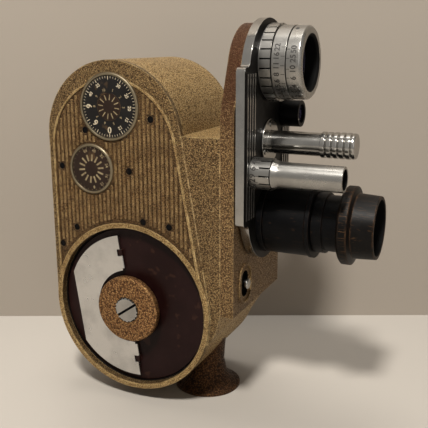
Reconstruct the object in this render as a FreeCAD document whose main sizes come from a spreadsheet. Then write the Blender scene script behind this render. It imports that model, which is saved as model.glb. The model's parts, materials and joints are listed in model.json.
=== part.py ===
"""Turret cine camera for spool-loaded 8 mm film, as separate pieces.

Millimetres. +Z is up, -Y is the way the lenses point, and +X is the film-door side.
The origin is the mouth of the tripod thread, on the surface the foot stands on.
"""
import FreeCAD
import Part
import math
import os
import Sketcher

Vector = FreeCAD.Vector

SIZES = {
    # Side outline of the body: two circles and the lines that touch both.
    "lower_y": 21.4, "lower_z": 37.5, "lower_r": 33.2,
    "upper_y": 26.8, "upper_z": 101.6, "upper_r": 27.8,
    # Casting, across its width.
    "core_half": 21.3, "wall": 1.8, "mid_x": -6.0, "mid_wall": 2.0,
    "cover_thick": 2.2, "door_thick": 2.2, "seat_clear": 0.1,
    # Nose of the casting, in front of the round body.
    "seam_y": -15.8, "chin_z": 39.9, "ledge_z": 103.8, "nose_back_y": 6.0,
    "chin_mid_y": -13.9, "chin_mid_z": 32.5, "chin_low_y": -9.6, "chin_low_z": 25.6,
    # Front housing and its hood behind the upper lens.
    "housing_thick": 5.1, "spring_z": 112.0, "hood_r": 17.7, "hood_z": 124.1,
    # Turret.
    "turret_gap": 0.5, "turret_thick": 3.2, "pivot_z": 100.4, "plate_half": 23.5,
    "plate_reach": 27.0, "lobe_r": 19.3, "lobe_out": 23.8, "station_out": 27.9,
    "seat_r": 7.94, "pivot_r": 3.0, "run_clear": 0.05, "slip_clear": 0.15,
    "post_r": 4.1, "post_knurl_r": 4.6, "post_knurl_at": 20.0, "post_long": 32.1,
    "post_groove_pitch": 2.2, "post_groove_wide": 0.8, "post_groove_deep": 0.6,
    "post_flange_r": 8.2, "post_flange_thick": 0.8,
    "corner_r": 2.0, "rib_wide": 0.9, "rib_pitch": 2.2, "rib_high": 0.45,
    # Wide lens, measured forward from the turret's front face.
    "wide_r": 12.5, "wide_open_r": 9.1, "wide_core_r": 10.4, "wide_flange": 0.6,
    "wide_knurl_r": 13.4, "wide_knurl_end": 4.7, "wide_iris_r": 12.7, "wide_iris_end": 9.9,
    "wide_end": 15.1, "wide_bevel": 0.8, "wide_flutes": 26.0, "finder_flutes": 12.0,
    "groove_wide": 0.5, "groove_deep": 0.5,
    "ring_gap": 0.2, "lens_wall": 1.4,
    # Long lens, measured forward from the turret's front face.
    "tele_flange": 2.4, "tele_r": 12.9, "tele_core_r": 9.4, "tele_focus_end": 17.9,
    "tele_iris_r": 13.1, "tele_iris_end": 19.6, "tele_shoulder_r": 10.9,
    "tele_shoulder_end": 23.4, "tele_neck_r": 10.1, "tele_neck_end": 29.0,
    "hood_flange_r": 14.0, "hood_flange_end": 32.8, "hood_tube_r": 11.6, "hood_tube_end": 41.4,
    "hood_open_r": 9.9, "tele_bore_r": 7.2,
    # Finder objectives on the turret.
    "finder_x": 15.0, "finder_drop": 8.9, "finder_tube_r": 4.4, "finder_bore_r": 3.5,
    "finder_long": 32.1, "finder_ring_r": 5.5, "finder_ring_from": 0.3, "finder_ring_end": 7.6,
    "finder_collar_end": 10.1, "stub_r": 4.9, "stub_long": 7.5, "stub_rim": 1.2,
    "glass_thick": 1.6,
    # Finder in the body.
    "sight_r": 3.9, "sight_bore_r": 3.2, "eyepiece_r": 5.2, "eyepiece_out": 1.6,
    # Gate, shutter and pressure plate behind the taking lens.
    "light_r": 6.5, "film_y": -11.6, "gate_thick": 1.4, "gate_low_z": 56.0, "gate_high_z": 90.0,
    "gate_x_from": -5.7, "gate_x_to": 15.5, "gate_room_to": 18.0, "gate_clear": 0.2,
    "aperture_wide": 4.8, "aperture_high": 3.6, "shutter_r": 12.0, "shutter_up": 8.6,
    "shutter_thick": 0.6, "shutter_room": 0.6, "shutter_shaft_r": 1.0,
    "press_gap": 0.3, "press_thick": 1.5, "press_x_from": -3.7, "press_x_to": 12.3,
    "press_low_z": 62.0, "press_high_z": 84.0, "guide_pin_r": 0.8, "guide_pin_long": 7.0,
    # Spools of double-width film and their spindles.
    "spool_room": 0.6, "spool_hub_r": 8.0, "spool_bore_r": 4.0, "flange_thick": 0.9,
    "film_wide": 16.0, "spool_side": 0.2, "spindle_r": 3.9, "spindle_out": 2.2,
    "spindle_pivot_r": 2.5, "spindle_collar_r": 6.0, "spindle_collar": 0.8,
    # Recess, disc and folding plate of the winding key.
    "recess_r": 31.0, "well_wall": 0.7, "well_r": 31.2, "well_deep": 3.4, "well_floor": 0.8,
    "disc_r": 30.1, "disc_sink": 2.4, "disc_thick": 2.4, "boss_r": 12.8, "boss_neck_r": 9.0,
    "boss_high": 5.2, "arbor_r": 3.0, "screw_r": 4.8, "screw_high": 0.9, "slot_wide": 0.9,
    "ring_r": 34.6, "ring_high": 0.5,
    "key_tilt": 8.5, "key_inner": 1.2, "key_outer": 24.1, "key_end_r": 28.0, "key_cut_r": 14.4,
    "key_thick": 1.3, "key_lift": 0.2, "ear_from": 20.2, "ear_wide": 2.2, "knuckle_from": 15.2,
    "knuckle_r": 0.75, "key_pin_r": 0.4, "key_notch": 1.3,
    # Mainspring barrel.
    "barrel_r": 27.5, "barrel_wide": 7.6, "barrel_side": 0.6,
    # Fluted panel of the mechanism cover.
    "panel_upper_z": 97.0, "panel_upper_r": 26.0, "panel_lower_r": 31.4,
    "panel_line": 0.7, "panel_line_high": 0.35, "flute_pitch": 1.77, "flute_wide": 1.0,
    "flute_high": 0.35,
    # Dials on the mechanism cover.
    "count_y": 27.5, "count_z": 112.9, "count_r": 12.3, "speed_y": 36.1, "speed_z": 89.9,
    "speed_r": 9.5, "bezel_wide": 1.1, "bezel_out": 0.6, "dial_seat": 1.2, "dial_under": 0.25,
    "dial_shaft_r": 1.5, "dial_shaft_long": 3.0,
    # Cover screws.
    "cover_screw_r": 1.3, "cover_screw_sink": 1.0, "cover_shank_r": 0.7, "cover_shank_long": 3.2,
    # Release button.
    "release_x": -12.5, "release_z": 49.8, "release_half": 3.0, "release_reach": 1.9,
    "release_deep": 1.6, "button_r": 1.9, "button_out": 1.9, "stem_r": 1.1, "stem_long": 6.2,
    "button_travel": 1.2, "rim_gap": 2.0, "rim_wide": 0.8, "rim_high": 0.5,
    # Foot with its tripod thread.
    "foot_r": 13.0, "foot_rim": 0.9, "foot_neck_r": 6.6, "foot_neck_z": 11.0, "foot_top_z": 22.0,
    "bush_r": 4.8, "bush_long": 9.0, "thread_r": 2.6, "bush_clear": 0.02,
    # Film door.
    "lip_deep": 2.4, "lip_thick": 1.2, "latch_y": 24.0, "latch_z": 70.0, "latch_r": 8.0,
    "latch_thick": 1.6, "latch_shaft_r": 2.0, "latch_bar_high": 4.0, "latch_bar_long": 18.0,
    "latch_bar_thick": 1.2, "latch_grip_high": 3.2,
}

# Steps between the two circles of an outline where its highest point is looked for.
OUTLINE_STEPS = 40
# How far the slot of the key's screw is turned, in degrees.
SCREW_SLOT_TILT = 35.0
# Centres (Y, Z) of the small screws in the mechanism cover.
SCREW_PLACES = [(10.8, 109.1), (38.3, 104.1), (49.4, 90.1), (20.2, 90.0),
                (44.1, 66.7), (14.9, 71.6), (4.2, 70.8), (51.0, 59.4)]


class Size:
    """A length that carries its value and the sheet expression that it comes from."""

    def __init__(self, value, text=None):
        self.value = float(value)
        self.text = text or "%.6f" % self.value

    def _with(self, other, sign, value, swapped=False):
        first, second = (other, self) if swapped else (self, other)
        return Size(value, "(%s %s %s)" % (first.text, sign, second.text))

    def __add__(self, other):
        other = as_size(other)
        return self._with(other, "+", self.value + other.value)

    def __sub__(self, other):
        other = as_size(other)
        return self._with(other, "-", self.value - other.value)

    def __rsub__(self, other):
        return as_size(other) - self

    def __mul__(self, other):
        other = as_size(other)
        return self._with(other, "*", self.value * other.value)

    def __truediv__(self, other):
        other = as_size(other)
        return self._with(other, "/", self.value / other.value)

    def __neg__(self):
        return Size(-self.value, "(0 - %s)" % self.text)

    __radd__ = __add__
    __rmul__ = __mul__


def as_size(number):
    return number if isinstance(number, Size) else Size(number)


class Sheet:
    """Gives each size of the sheet as an attribute."""

    def __init__(self, doc, sizes):
        cells = doc.addObject("Spreadsheet::Sheet", "Sizes")
        for row, (name, value) in enumerate(sizes.items(), start=1):
            cells.set("A%d" % row, name)
            cells.set("B%d" % row, repr(value))
            cells.setAlias("B%d" % row, name)
            setattr(self, name, Size(value, "Sizes." + name))


doc = FreeCAD.newDocument("cine_camera")
s = Sheet(doc, SIZES)
doc.recompute()
PIECES = []


def bind(target, name, size):
    """Set a property from the sheet."""
    target.setExpression(name, as_size(size).text)


# ---------------------------------------------------------------- sketches and features

def new_piece(label, x=0, y=0, z=0):
    """A body that becomes one sub-part, placed by the sheet."""
    body = doc.addObject("PartDesign::Body", label)
    body.Label = label
    for axis, size in zip("xyz", (x, y, z)):
        bind(body, "Placement.Base." + axis, size)
    PIECES.append(body)
    return body


def origin_item(body, role):
    return next(item for item in body.Origin.OriginFeatures if item.Role == role)


def new_sketch(body, plane, lift=0):
    """A sketch on one of the body's origin planes, raised along its normal."""
    sketch = body.newObject("Sketcher::SketchObject", body.Name + "_sketch")
    sketch.AttachmentSupport = (origin_item(body, plane), "")
    sketch.MapMode = "FlatFace"
    bind(sketch, "AttachmentOffset.Base.z", lift)
    return sketch


def pin_point(sketch, edge, end, x, y):
    """Hold a point of the sketch at sizes measured from its origin."""
    for kind, size in (("DistanceX", as_size(x)), ("DistanceY", as_size(y))):
        index = sketch.addConstraint(Sketcher.Constraint(kind, -1, 1, edge, end, size.value))
        sketch.setExpression("Constraints[%d]" % index, size.text)


def draw_loop(sketch, corners):
    """Straight edges round a closed run of corners."""
    points = [Vector(as_size(x).value, as_size(y).value, 0) for x, y in corners]
    edges = []
    for start, end in zip(points, points[1:] + points[:1]):
        edges.append(sketch.addGeometry(Part.LineSegment(start, end)))
    for edge, following in zip(edges, edges[1:] + edges[:1]):
        sketch.addConstraint(Sketcher.Constraint("Coincident", edge, 2, following, 1))
    for edge, (x, y) in zip(edges, corners):
        pin_point(sketch, edge, 1, x, y)


def draw_circle(sketch, x, y, radius):
    radius = as_size(radius)
    centre = Vector(as_size(x).value, as_size(y).value, 0)
    circle = sketch.addGeometry(Part.Circle(centre, Vector(0, 0, 1), radius.value))
    index = sketch.addConstraint(Sketcher.Constraint("Radius", circle, radius.value))
    sketch.setExpression("Constraints[%d]" % index, radius.text)
    pin_point(sketch, circle, 3, x, y)


def draw_box(sketch, x_from, x_to, y_from, y_to):
    draw_loop(sketch, [(x_from, y_from), (x_to, y_from), (x_to, y_to), (x_from, y_to)])


def arc_on(sketch, centre, radius, start, end):
    """An arc of known centre and radius, counter-clockwise between two rough angles."""
    radius = as_size(radius)
    middle = Vector(as_size(centre[0]).value, as_size(centre[1]).value, 0)
    circle = Part.Circle(middle, Vector(0, 0, 1), radius.value)
    arc = sketch.addGeometry(Part.ArcOfCircle(circle, start, end))
    index = sketch.addConstraint(Sketcher.Constraint("Radius", arc, radius.value))
    sketch.setExpression("Constraints[%d]" % index, radius.text)
    pin_point(sketch, arc, 3, *centre)
    return arc


def draw_belt(sketch, low, low_r, high, high_r):
    """Outline round two circles, one above the other, and the two lines that touch both."""
    low_r, high_r = as_size(low_r), as_size(high_r)
    run = Vector(as_size(high[0]).value - as_size(low[0]).value,
                 as_size(high[1]).value - as_size(low[1]).value, 0)
    lean = math.atan2(run.y, run.x)
    spread = math.acos((low_r.value - high_r.value) / run.Length)
    right, left = lean - spread, lean + spread
    bottom = arc_on(sketch, low, low_r, left, right + 2 * math.pi)
    top = arc_on(sketch, high, high_r, right, left)

    def on_circle(centre, radius, angle):
        x = as_size(centre[0]).value + radius.value * math.cos(angle)
        y = as_size(centre[1]).value + radius.value * math.sin(angle)
        return Vector(x, y, 0)

    back = sketch.addGeometry(Part.LineSegment(on_circle(low, low_r, right),
                                               on_circle(high, high_r, right)))
    front = sketch.addGeometry(Part.LineSegment(on_circle(high, high_r, left),
                                                on_circle(low, low_r, left)))
    for first, second in ((bottom, back), (back, top), (top, front), (front, bottom)):
        sketch.addConstraint(Sketcher.Constraint("Tangent", first, 2, second, 1))


def draw_body_outline(sketch, inset=0):
    """Side outline of the camera body, moved inward by the inset."""
    draw_belt(sketch, (s.lower_y, s.lower_z), s.lower_r - inset,
              (s.upper_y, s.upper_z), s.upper_r - inset)


def draw_panel_outline(sketch, inset=0):
    """Outline of the fluted panel on the mechanism cover."""
    draw_belt(sketch, (s.lower_y, s.lower_z), s.panel_lower_r - inset,
              (s.upper_y, s.panel_upper_z), s.panel_upper_r - inset)


def draw_slot(sketch, x, z, half, reach):
    """Upright slot with round ends."""
    draw_belt(sketch, (x, z - reach), half, (x, z + reach), half)


def pad(body, sketch, length):
    feature = body.newObject("PartDesign::Pad", body.Name + "_pad")
    feature.Profile = sketch
    bind(feature, "Length", length)
    return feature


def cut(body, sketch, depth, forward=True):
    """Remove the sketch's area along its normal, or against it."""
    feature = body.newObject("PartDesign::Pocket", body.Name + "_pocket")
    feature.Profile = sketch
    feature.Reversed = forward
    bind(feature, "Length", depth)
    return feature


def revolve(body, sketch, axis):
    feature = body.newObject("PartDesign::Revolution", body.Name + "_turn")
    feature.Profile = sketch
    feature.ReferenceAxis = (sketch, [axis])
    feature.Angle = 360
    return feature


def turned(label, axis, profile, x=0, y=0, z=0):
    """A piece turned about X, Y or Z from (along, radius) corners."""
    body = new_piece(label, x, y, z)
    sketch = new_sketch(body, "XZ_Plane" if axis == "Z" else "XY_Plane")
    swap = axis != "X"
    draw_loop(sketch, [(radius, along) if swap else (along, radius) for along, radius in profile])
    revolve(body, sketch, "V_Axis" if swap else "H_Axis")
    return body


def tube_profile(start, end, outer, bore=0):
    return [(start, bore), (start, outer), (end, outer), (end, bore)]


def repeat_round(body, feature, axis, count):
    pattern = body.newObject("PartDesign::PolarPattern", body.Name + "_round")
    pattern.Originals = [feature]
    pattern.Axis = (origin_item(body, axis), [""])
    pattern.Angle = 360
    bind(pattern, "Occurrences", count)
    body.Tip = pattern
    return pattern


def outline_back(z):
    """Largest Y of the body's side outline at a height between the centres of its two circles."""
    lean = s.upper_y.value - s.lower_y.value
    rise = s.upper_z.value - s.lower_z.value
    apart = math.hypot(lean, rise)
    taper = (s.lower_r.value - s.upper_r.value) / apart
    square = math.sqrt(1 - taper ** 2)
    normal_y = (lean * taper + rise * square) / apart
    normal_z = (rise * taper - lean * square) / apart
    reach = normal_y * s.lower_y.value + normal_z * s.lower_z.value + s.lower_r.value
    return (reach - normal_z * z) / normal_y


# ---------------------------------------------------------------- planes that pieces share

cover_face = -(s.core_half + s.cover_thick)
door_face = s.core_half + s.door_thick
housing_face = s.seam_y - s.housing_thick
turret_back = housing_face - s.turret_gap
turret_face = turret_back - s.turret_thick
lens_z = s.pivot_z - s.station_out
upper_lens_z = s.pivot_z + s.station_out
sight_z = s.pivot_z - s.finder_drop
sight_back = Size(max(outline_back(sight_z.value + s.eyepiece_r.value),
                      outline_back(sight_z.value - s.eyepiece_r.value)))
spool_r = s.upper_r - s.wall - s.spool_room
shutter_z = lens_z + s.shutter_up
gate_front_y = s.film_y - s.gate_thick
disc_face = cover_face + s.disc_sink


def ahead(size):
    """A station measured forward from the turret's front face."""
    return turret_face - size


# ---------------------------------------------------------------- body castings

def build_main_casting():
    body = new_piece("main_casting")
    outline = new_sketch(body, "YZ_Plane", -s.core_half)
    draw_body_outline(outline)
    pad(body, outline, s.core_half * 2)
    nose = new_sketch(body, "YZ_Plane", cover_face)
    draw_loop(nose, [(s.seam_y, s.ledge_z), (s.seam_y, s.chin_z), (s.chin_mid_y, s.chin_mid_z),
                     (s.chin_low_y, s.chin_low_z), (s.nose_back_y, s.chin_low_z),
                     (s.nose_back_y, s.ledge_z)])
    pad(body, nose, door_face - cover_face)
    for start, depth in ((cover_face, s.cover_thick), (s.core_half, s.door_thick)):
        seat = new_sketch(body, "YZ_Plane", start)
        draw_body_outline(seat, -s.seat_clear)
        cut(body, seat, depth)
    for start, depth in ((s.mid_x, s.core_half - s.mid_x),
                         (-s.core_half, s.core_half + s.mid_x - s.mid_wall)):
        room = new_sketch(body, "YZ_Plane", start)
        draw_body_outline(room, s.wall)
        cut(body, room, depth)
    gate_room = new_sketch(body, "YZ_Plane", s.mid_x)
    draw_box(gate_room, gate_front_y, s.nose_back_y - s.wall,
             s.gate_low_z - s.gate_clear, s.gate_high_z + s.gate_clear)
    cut(body, gate_room, s.gate_room_to - s.mid_x)
    shutter_room = new_sketch(body, "XZ_Plane", -s.seam_y)
    draw_circle(shutter_room, 0, shutter_z, s.shutter_r + s.shutter_room)
    cut(body, shutter_room, gate_front_y - s.seam_y, forward=False)
    sight = new_sketch(body, "XZ_Plane", -s.seam_y)
    draw_circle(sight, -s.finder_x, sight_z, s.sight_r + s.run_clear)
    cut(body, sight, sight_back - s.seam_y + 1, forward=False)
    stem = new_sketch(body, "XZ_Plane", -s.seam_y)
    draw_circle(stem, s.release_x, s.release_z, s.stem_r + s.run_clear)
    cut(body, stem, s.stem_long + s.button_travel, forward=False)
    spindles = new_sketch(body, "YZ_Plane", s.mid_x - s.mid_wall)
    draw_circle(spindles, s.lower_y, s.lower_z, s.spindle_pivot_r + s.run_clear)
    draw_circle(spindles, s.upper_y, s.upper_z, s.spindle_pivot_r + s.run_clear)
    cut(body, spindles, s.mid_wall)
    return body


def build_front_housing():
    body = new_piece("front_housing")
    front = new_sketch(body, "XZ_Plane", -s.seam_y)
    rise = math.atan2(s.hood_z.value - s.spring_z.value, s.plate_half.value)
    distance = math.hypot(s.hood_z.value - s.spring_z.value, s.plate_half.value)
    touch = math.acos(s.hood_r.value / distance) - rise
    top = arc_on(front, (0, s.hood_z), s.hood_r, touch, math.pi - touch)
    touch_x = s.hood_r.value * math.cos(touch)
    touch_z = s.hood_z.value + s.hood_r.value * math.sin(touch)
    corners = [Vector(-touch_x, touch_z, 0), Vector(-s.plate_half.value, s.spring_z.value, 0),
               Vector(-s.plate_half.value, s.chin_z.value, 0),
               Vector(s.plate_half.value, s.chin_z.value, 0),
               Vector(s.plate_half.value, s.spring_z.value, 0), Vector(touch_x, touch_z, 0)]
    edges = [front.addGeometry(Part.LineSegment(a, b)) for a, b in zip(corners, corners[1:])]
    for edge, following in zip(edges, edges[1:]):
        front.addConstraint(Sketcher.Constraint("Coincident", edge, 2, following, 1))
    front.addConstraint(Sketcher.Constraint("Tangent", top, 2, edges[0], 1))
    front.addConstraint(Sketcher.Constraint("Tangent", edges[-1], 2, top, 1))
    pin_point(front, edges[1], 1, -s.plate_half, s.spring_z)
    pin_point(front, edges[2], 1, -s.plate_half, s.chin_z)
    pin_point(front, edges[3], 1, s.plate_half, s.chin_z)
    pin_point(front, edges[4], 1, s.plate_half, s.spring_z)
    pad(body, front, s.housing_thick)
    rim = new_sketch(body, "XZ_Plane", -housing_face)
    outer = s.release_half + s.rim_gap + s.rim_wide
    draw_slot(rim, s.release_x, s.release_z, outer, s.release_reach)
    draw_slot(rim, s.release_x, s.release_z, outer - s.rim_wide, s.release_reach)
    pad(body, rim, s.rim_high)
    for x, z, radius in ((0, lens_z, s.light_r), (0, s.pivot_z, s.pivot_r + s.run_clear),
                         (-s.finder_x, sight_z, s.sight_r + s.run_clear),
                         (s.release_x, s.release_z, s.stem_r + s.run_clear)):
        hole = new_sketch(body, "XZ_Plane", -s.seam_y)
        draw_circle(hole, x, z, radius)
        cut(body, hole, s.housing_thick)
    recess = new_sketch(body, "XZ_Plane", -housing_face - s.release_deep)
    draw_slot(recess, s.release_x, s.release_z, s.release_half, s.release_reach)
    cut(body, recess, s.release_deep)
    bearing = new_sketch(body, "XZ_Plane", -s.seam_y)
    draw_circle(bearing, 0, shutter_z, s.shutter_shaft_r + s.run_clear)
    cut(body, bearing, s.housing_thick / 2)
    return body


def build_cover_plate():
    """Mechanism cover without its flutes: recess, ring, panel line, dial seats and screw holes."""
    body = new_piece("cover_plate")
    PIECES.remove(body)
    plate = new_sketch(body, "YZ_Plane", cover_face)
    draw_body_outline(plate)
    pad(body, plate, s.cover_thick)
    line = new_sketch(body, "YZ_Plane", cover_face - s.panel_line_high)
    draw_panel_outline(line)
    draw_panel_outline(line, s.panel_line)
    pad(body, line, s.panel_line_high + s.cover_thick / 2)
    recess = new_sketch(body, "YZ_Plane", cover_face - s.ring_high)
    draw_circle(recess, s.lower_y, s.lower_z, s.recess_r)
    cut(body, recess, s.ring_high + s.cover_thick)
    for y, z, radius in ((s.count_y, s.count_z, s.count_r), (s.speed_y, s.speed_z, s.speed_r)):
        seat = new_sketch(body, "YZ_Plane", cover_face - s.ring_high)
        draw_circle(seat, y, z, radius)
        cut(body, seat, s.ring_high + s.dial_seat)
        shaft = new_sketch(body, "YZ_Plane", cover_face)
        draw_circle(shaft, y, z, s.dial_shaft_r + s.run_clear)
        cut(body, shaft, s.cover_thick)
    for y, z in SCREW_PLACES:
        head = new_sketch(body, "YZ_Plane", cover_face - s.ring_high)
        draw_circle(head, y, z, s.cover_screw_r)
        cut(body, head, s.ring_high + s.cover_screw_sink)
        shank = new_sketch(body, "YZ_Plane", cover_face)
        draw_circle(shank, y, z, s.cover_shank_r)
        cut(body, shank, s.cover_thick)
    return body


def chord(centre_y, centre_z, radius, y):
    """Lowest and highest Z of a circle where it crosses a given Y, or None."""
    half = radius ** 2 - (y - centre_y) ** 2
    if half <= 0:
        return None
    return centre_z - math.sqrt(half), centre_z + math.sqrt(half)


def panel_top(y):
    """Highest Z of the fluted panel at a given Y."""
    inset = 2 * s.panel_line.value
    tops = []
    for step in range(OUTLINE_STEPS + 1):
        share = step / OUTLINE_STEPS
        centre_y = s.lower_y.value + share * (s.upper_y.value - s.lower_y.value)
        centre_z = s.lower_z.value + share * (s.panel_upper_z.value - s.lower_z.value)
        radius = s.panel_lower_r.value + share * (s.panel_upper_r.value - s.panel_lower_r.value)
        crossing = chord(centre_y, centre_z, radius - inset, y)
        if crossing:
            tops.append(crossing[1])
    return max(tops) if tops else None


def flute_runs(y):
    """Z ranges of one flute: inside the panel, above the key ring, clear of dials and screws."""
    ring = chord(s.lower_y.value, s.lower_z.value, s.ring_r.value, y)
    top = panel_top(y)
    if not ring or not top:
        return []
    margin = s.panel_line.value
    islands = [(s.count_y.value, s.count_z.value, s.count_r.value + margin),
               (s.speed_y.value, s.speed_z.value, s.speed_r.value + margin)]
    islands += [(place_y, place_z, s.cover_screw_r.value + margin)
                for place_y, place_z in SCREW_PLACES]
    gaps = [chord(*island, y) for island in islands]
    low = ring[1]
    runs = []
    for gap_low, gap_high in sorted(gap for gap in gaps if gap):
        runs.append((low, gap_low))
        low = max(low, gap_high)
    runs.append((low, top))
    return [run for run in runs if run[1] - run[0] > s.flute_pitch.value]


def flute_solids():
    """Tapered upright ribs, one for every pitch across the panel."""
    foot = s.flute_wide.value / 2
    deep = cover_face.value + s.flute_high.value
    proud = cover_face.value - s.flute_high.value
    count = int(2 * s.panel_lower_r.value / s.flute_pitch.value)
    first = s.lower_y.value - s.flute_pitch.value * count / 2
    ribs = []
    for number in range(count + 1):
        y = first + number * s.flute_pitch.value
        section = [(deep, y - foot), (cover_face.value, y - foot), (proud, y - foot / 2),
                   (proud, y + foot / 2), (cover_face.value, y + foot), (deep, y + foot)]
        for low, high in flute_runs(y):
            corners = [Vector(x, across, low) for x, across in section]
            face = Part.Face(Part.makePolygon(corners + corners[:1]))
            ribs.append(face.extrude(Vector(0, 0, high - low)))
    return Part.makeCompound(ribs)


def build_mechanism_cover():
    """The cover plate with a field of upright flutes inside the panel line."""
    plate = build_cover_plate()
    flutes = doc.addObject("Part::Feature", "flutes")
    flutes.Shape = flute_solids()
    cover = doc.addObject("Part::MultiFuse", "mechanism_cover")
    cover.Label = "mechanism_cover"
    cover.Shapes = [plate, flutes]
    PIECES.append(cover)


def build_cover_screws():
    body = new_piece("cover_screws")
    head = new_sketch(body, "YZ_Plane", cover_face)
    shank = new_sketch(body, "YZ_Plane", cover_face + s.cover_screw_sink / 2)
    for y, z in SCREW_PLACES:
        draw_circle(head, y, z, s.cover_screw_r - s.bush_clear)
        draw_circle(shank, y, z, s.cover_shank_r - s.bush_clear)
    body.AllowCompound = True
    pad(body, head, s.cover_screw_sink)
    pad(body, shank, s.cover_shank_long)


def build_foot():
    body = turned("tripod_foot", "Z", [
        (0, s.bush_r), (0, s.foot_r), (s.foot_rim, s.foot_r),
        (s.foot_rim * 2.5, s.foot_r * 0.8), (s.foot_neck_z / 2, s.foot_neck_r * 1.17),
        (s.foot_neck_z, s.foot_neck_r), (s.foot_top_z, s.foot_neck_r * 1.12),
        (s.foot_top_z, 0), (s.bush_long, 0), (s.bush_long, s.bush_r)])
    under = new_sketch(body, "YZ_Plane", -s.foot_r)
    draw_body_outline(under)
    cut(body, under, s.foot_r * 2)
    nose = new_sketch(body, "YZ_Plane", -s.foot_r)
    draw_loop(nose, [(s.seam_y, s.chin_z), (s.chin_mid_y, s.chin_mid_z),
                     (s.chin_low_y, s.chin_low_z), (s.nose_back_y, s.chin_low_z),
                     (s.nose_back_y, s.chin_z)])
    cut(body, nose, s.foot_r * 2)
    turned("tripod_bush", "Z",
           tube_profile(0, s.bush_long - s.bush_clear, s.bush_r - s.bush_clear, s.thread_r))


# ---------------------------------------------------------------- gate, shutter and finder

def build_gate():
    body = new_piece("film_gate")
    plate = new_sketch(body, "XZ_Plane", -s.film_y)
    draw_box(plate, s.gate_x_from, s.gate_x_to, s.gate_low_z, s.gate_high_z)
    draw_box(plate, -s.aperture_wide / 2, s.aperture_wide / 2,
             lens_z - s.aperture_high / 2, lens_z + s.aperture_high / 2)
    pad(body, plate, s.gate_thick)
    pins = new_sketch(body, "XZ_Plane", -s.film_y - s.guide_pin_long)
    middle = (s.press_x_from + s.press_x_to) / 2
    for z in (s.press_low_z + s.guide_pin_r * 3, s.press_high_z - s.guide_pin_r * 3):
        draw_circle(pins, middle, z, s.guide_pin_r)
    pad(body, pins, s.guide_pin_long + s.gate_thick / 2)

    press = new_piece("pressure_plate")
    leaf = new_sketch(press, "XZ_Plane", -s.film_y - s.press_gap - s.press_thick)
    draw_box(leaf, s.press_x_from, s.press_x_to, s.press_low_z, s.press_high_z)
    for z in (s.press_low_z + s.guide_pin_r * 3, s.press_high_z - s.guide_pin_r * 3):
        draw_circle(leaf, middle, z, s.guide_pin_r + s.run_clear)
    pad(press, leaf, s.press_thick)


def build_shutter():
    body = turned("shutter", "Y", [
        (housing_face + s.housing_thick / 2 + s.run_clear, 0),
        (housing_face + s.housing_thick / 2 + s.run_clear, s.shutter_shaft_r),
        (s.seam_y + s.shutter_room, s.shutter_shaft_r),
        (s.seam_y + s.shutter_room, s.shutter_r),
        (s.seam_y + s.shutter_room + s.shutter_thick, s.shutter_r),
        (s.seam_y + s.shutter_room + s.shutter_thick, 0)], z=shutter_z)
    opening = new_sketch(body, "XZ_Plane", -s.seam_y - s.shutter_room - s.shutter_thick)
    hub = s.shutter_shaft_r * 2.5
    draw_loop(opening, [(hub, -hub), (s.shutter_r * 2, -s.shutter_r * 2),
                        (-s.shutter_r * 2, -s.shutter_r * 2), (-hub, -hub)])
    cut(body, opening, s.shutter_thick)


def build_finder():
    back = sight_back
    turned("finder_tube", "Y", tube_profile(housing_face, back, s.sight_r, s.sight_bore_r),
           x=-s.finder_x, z=sight_z)
    turned("eyepiece", "Y", [
        (back, s.sight_bore_r), (back, s.eyepiece_r), (back + s.eyepiece_out, s.eyepiece_r * 0.9),
        (back + s.eyepiece_out, s.sight_bore_r * 0.8), (back + s.run_clear * 2, s.sight_bore_r * 0.8),
        (back + s.run_clear * 2, s.sight_bore_r)], x=-s.finder_x, z=sight_z)
    turned("eyepiece_glass", "Y",
           tube_profile(back - s.glass_thick, back, s.sight_bore_r - s.bush_clear),
           x=-s.finder_x, z=sight_z)


# ---------------------------------------------------------------- spools

def build_spools():
    spool_low = s.mid_x + s.spindle_collar + s.spool_side
    spool_high = spool_low + s.film_wide + s.flange_thick * 2
    for name, y, z in (("takeup", s.lower_y, s.lower_z), ("supply", s.upper_y, s.upper_z)):
        spool = turned(name + "_spool", "X", [
            (spool_low, s.spool_bore_r), (spool_low, spool_r),
            (spool_low + s.flange_thick, spool_r), (spool_low + s.flange_thick, s.spool_hub_r),
            (spool_high - s.flange_thick, s.spool_hub_r),
            (spool_high - s.flange_thick, spool_r),
            (spool_high, spool_r), (spool_high, s.spool_bore_r)], y=y, z=z)
        window = new_sketch(spool, "YZ_Plane", spool_low)
        draw_circle(window, (spool_r + s.spool_hub_r) / 2, 0, spool_r * 0.2)
        hole = cut(spool, window, spool_high - spool_low)
        repeat_round(spool, hole, "X_Axis", 3)
        collar_low = s.mid_x + s.run_clear
        turned(name + "_spindle", "X", [
            (s.mid_x - s.mid_wall / 2 + s.run_clear, 0),
            (s.mid_x - s.mid_wall / 2 + s.run_clear, s.spindle_pivot_r),
            (collar_low, s.spindle_pivot_r), (collar_low, s.spindle_collar_r),
            (collar_low + s.spindle_collar, s.spindle_collar_r),
            (collar_low + s.spindle_collar, s.spindle_r),
            (spool_high + s.spindle_out, s.spindle_r), (spool_high + s.spindle_out, 0)],
            y=y, z=z)


# ---------------------------------------------------------------- winding key and spring

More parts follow.
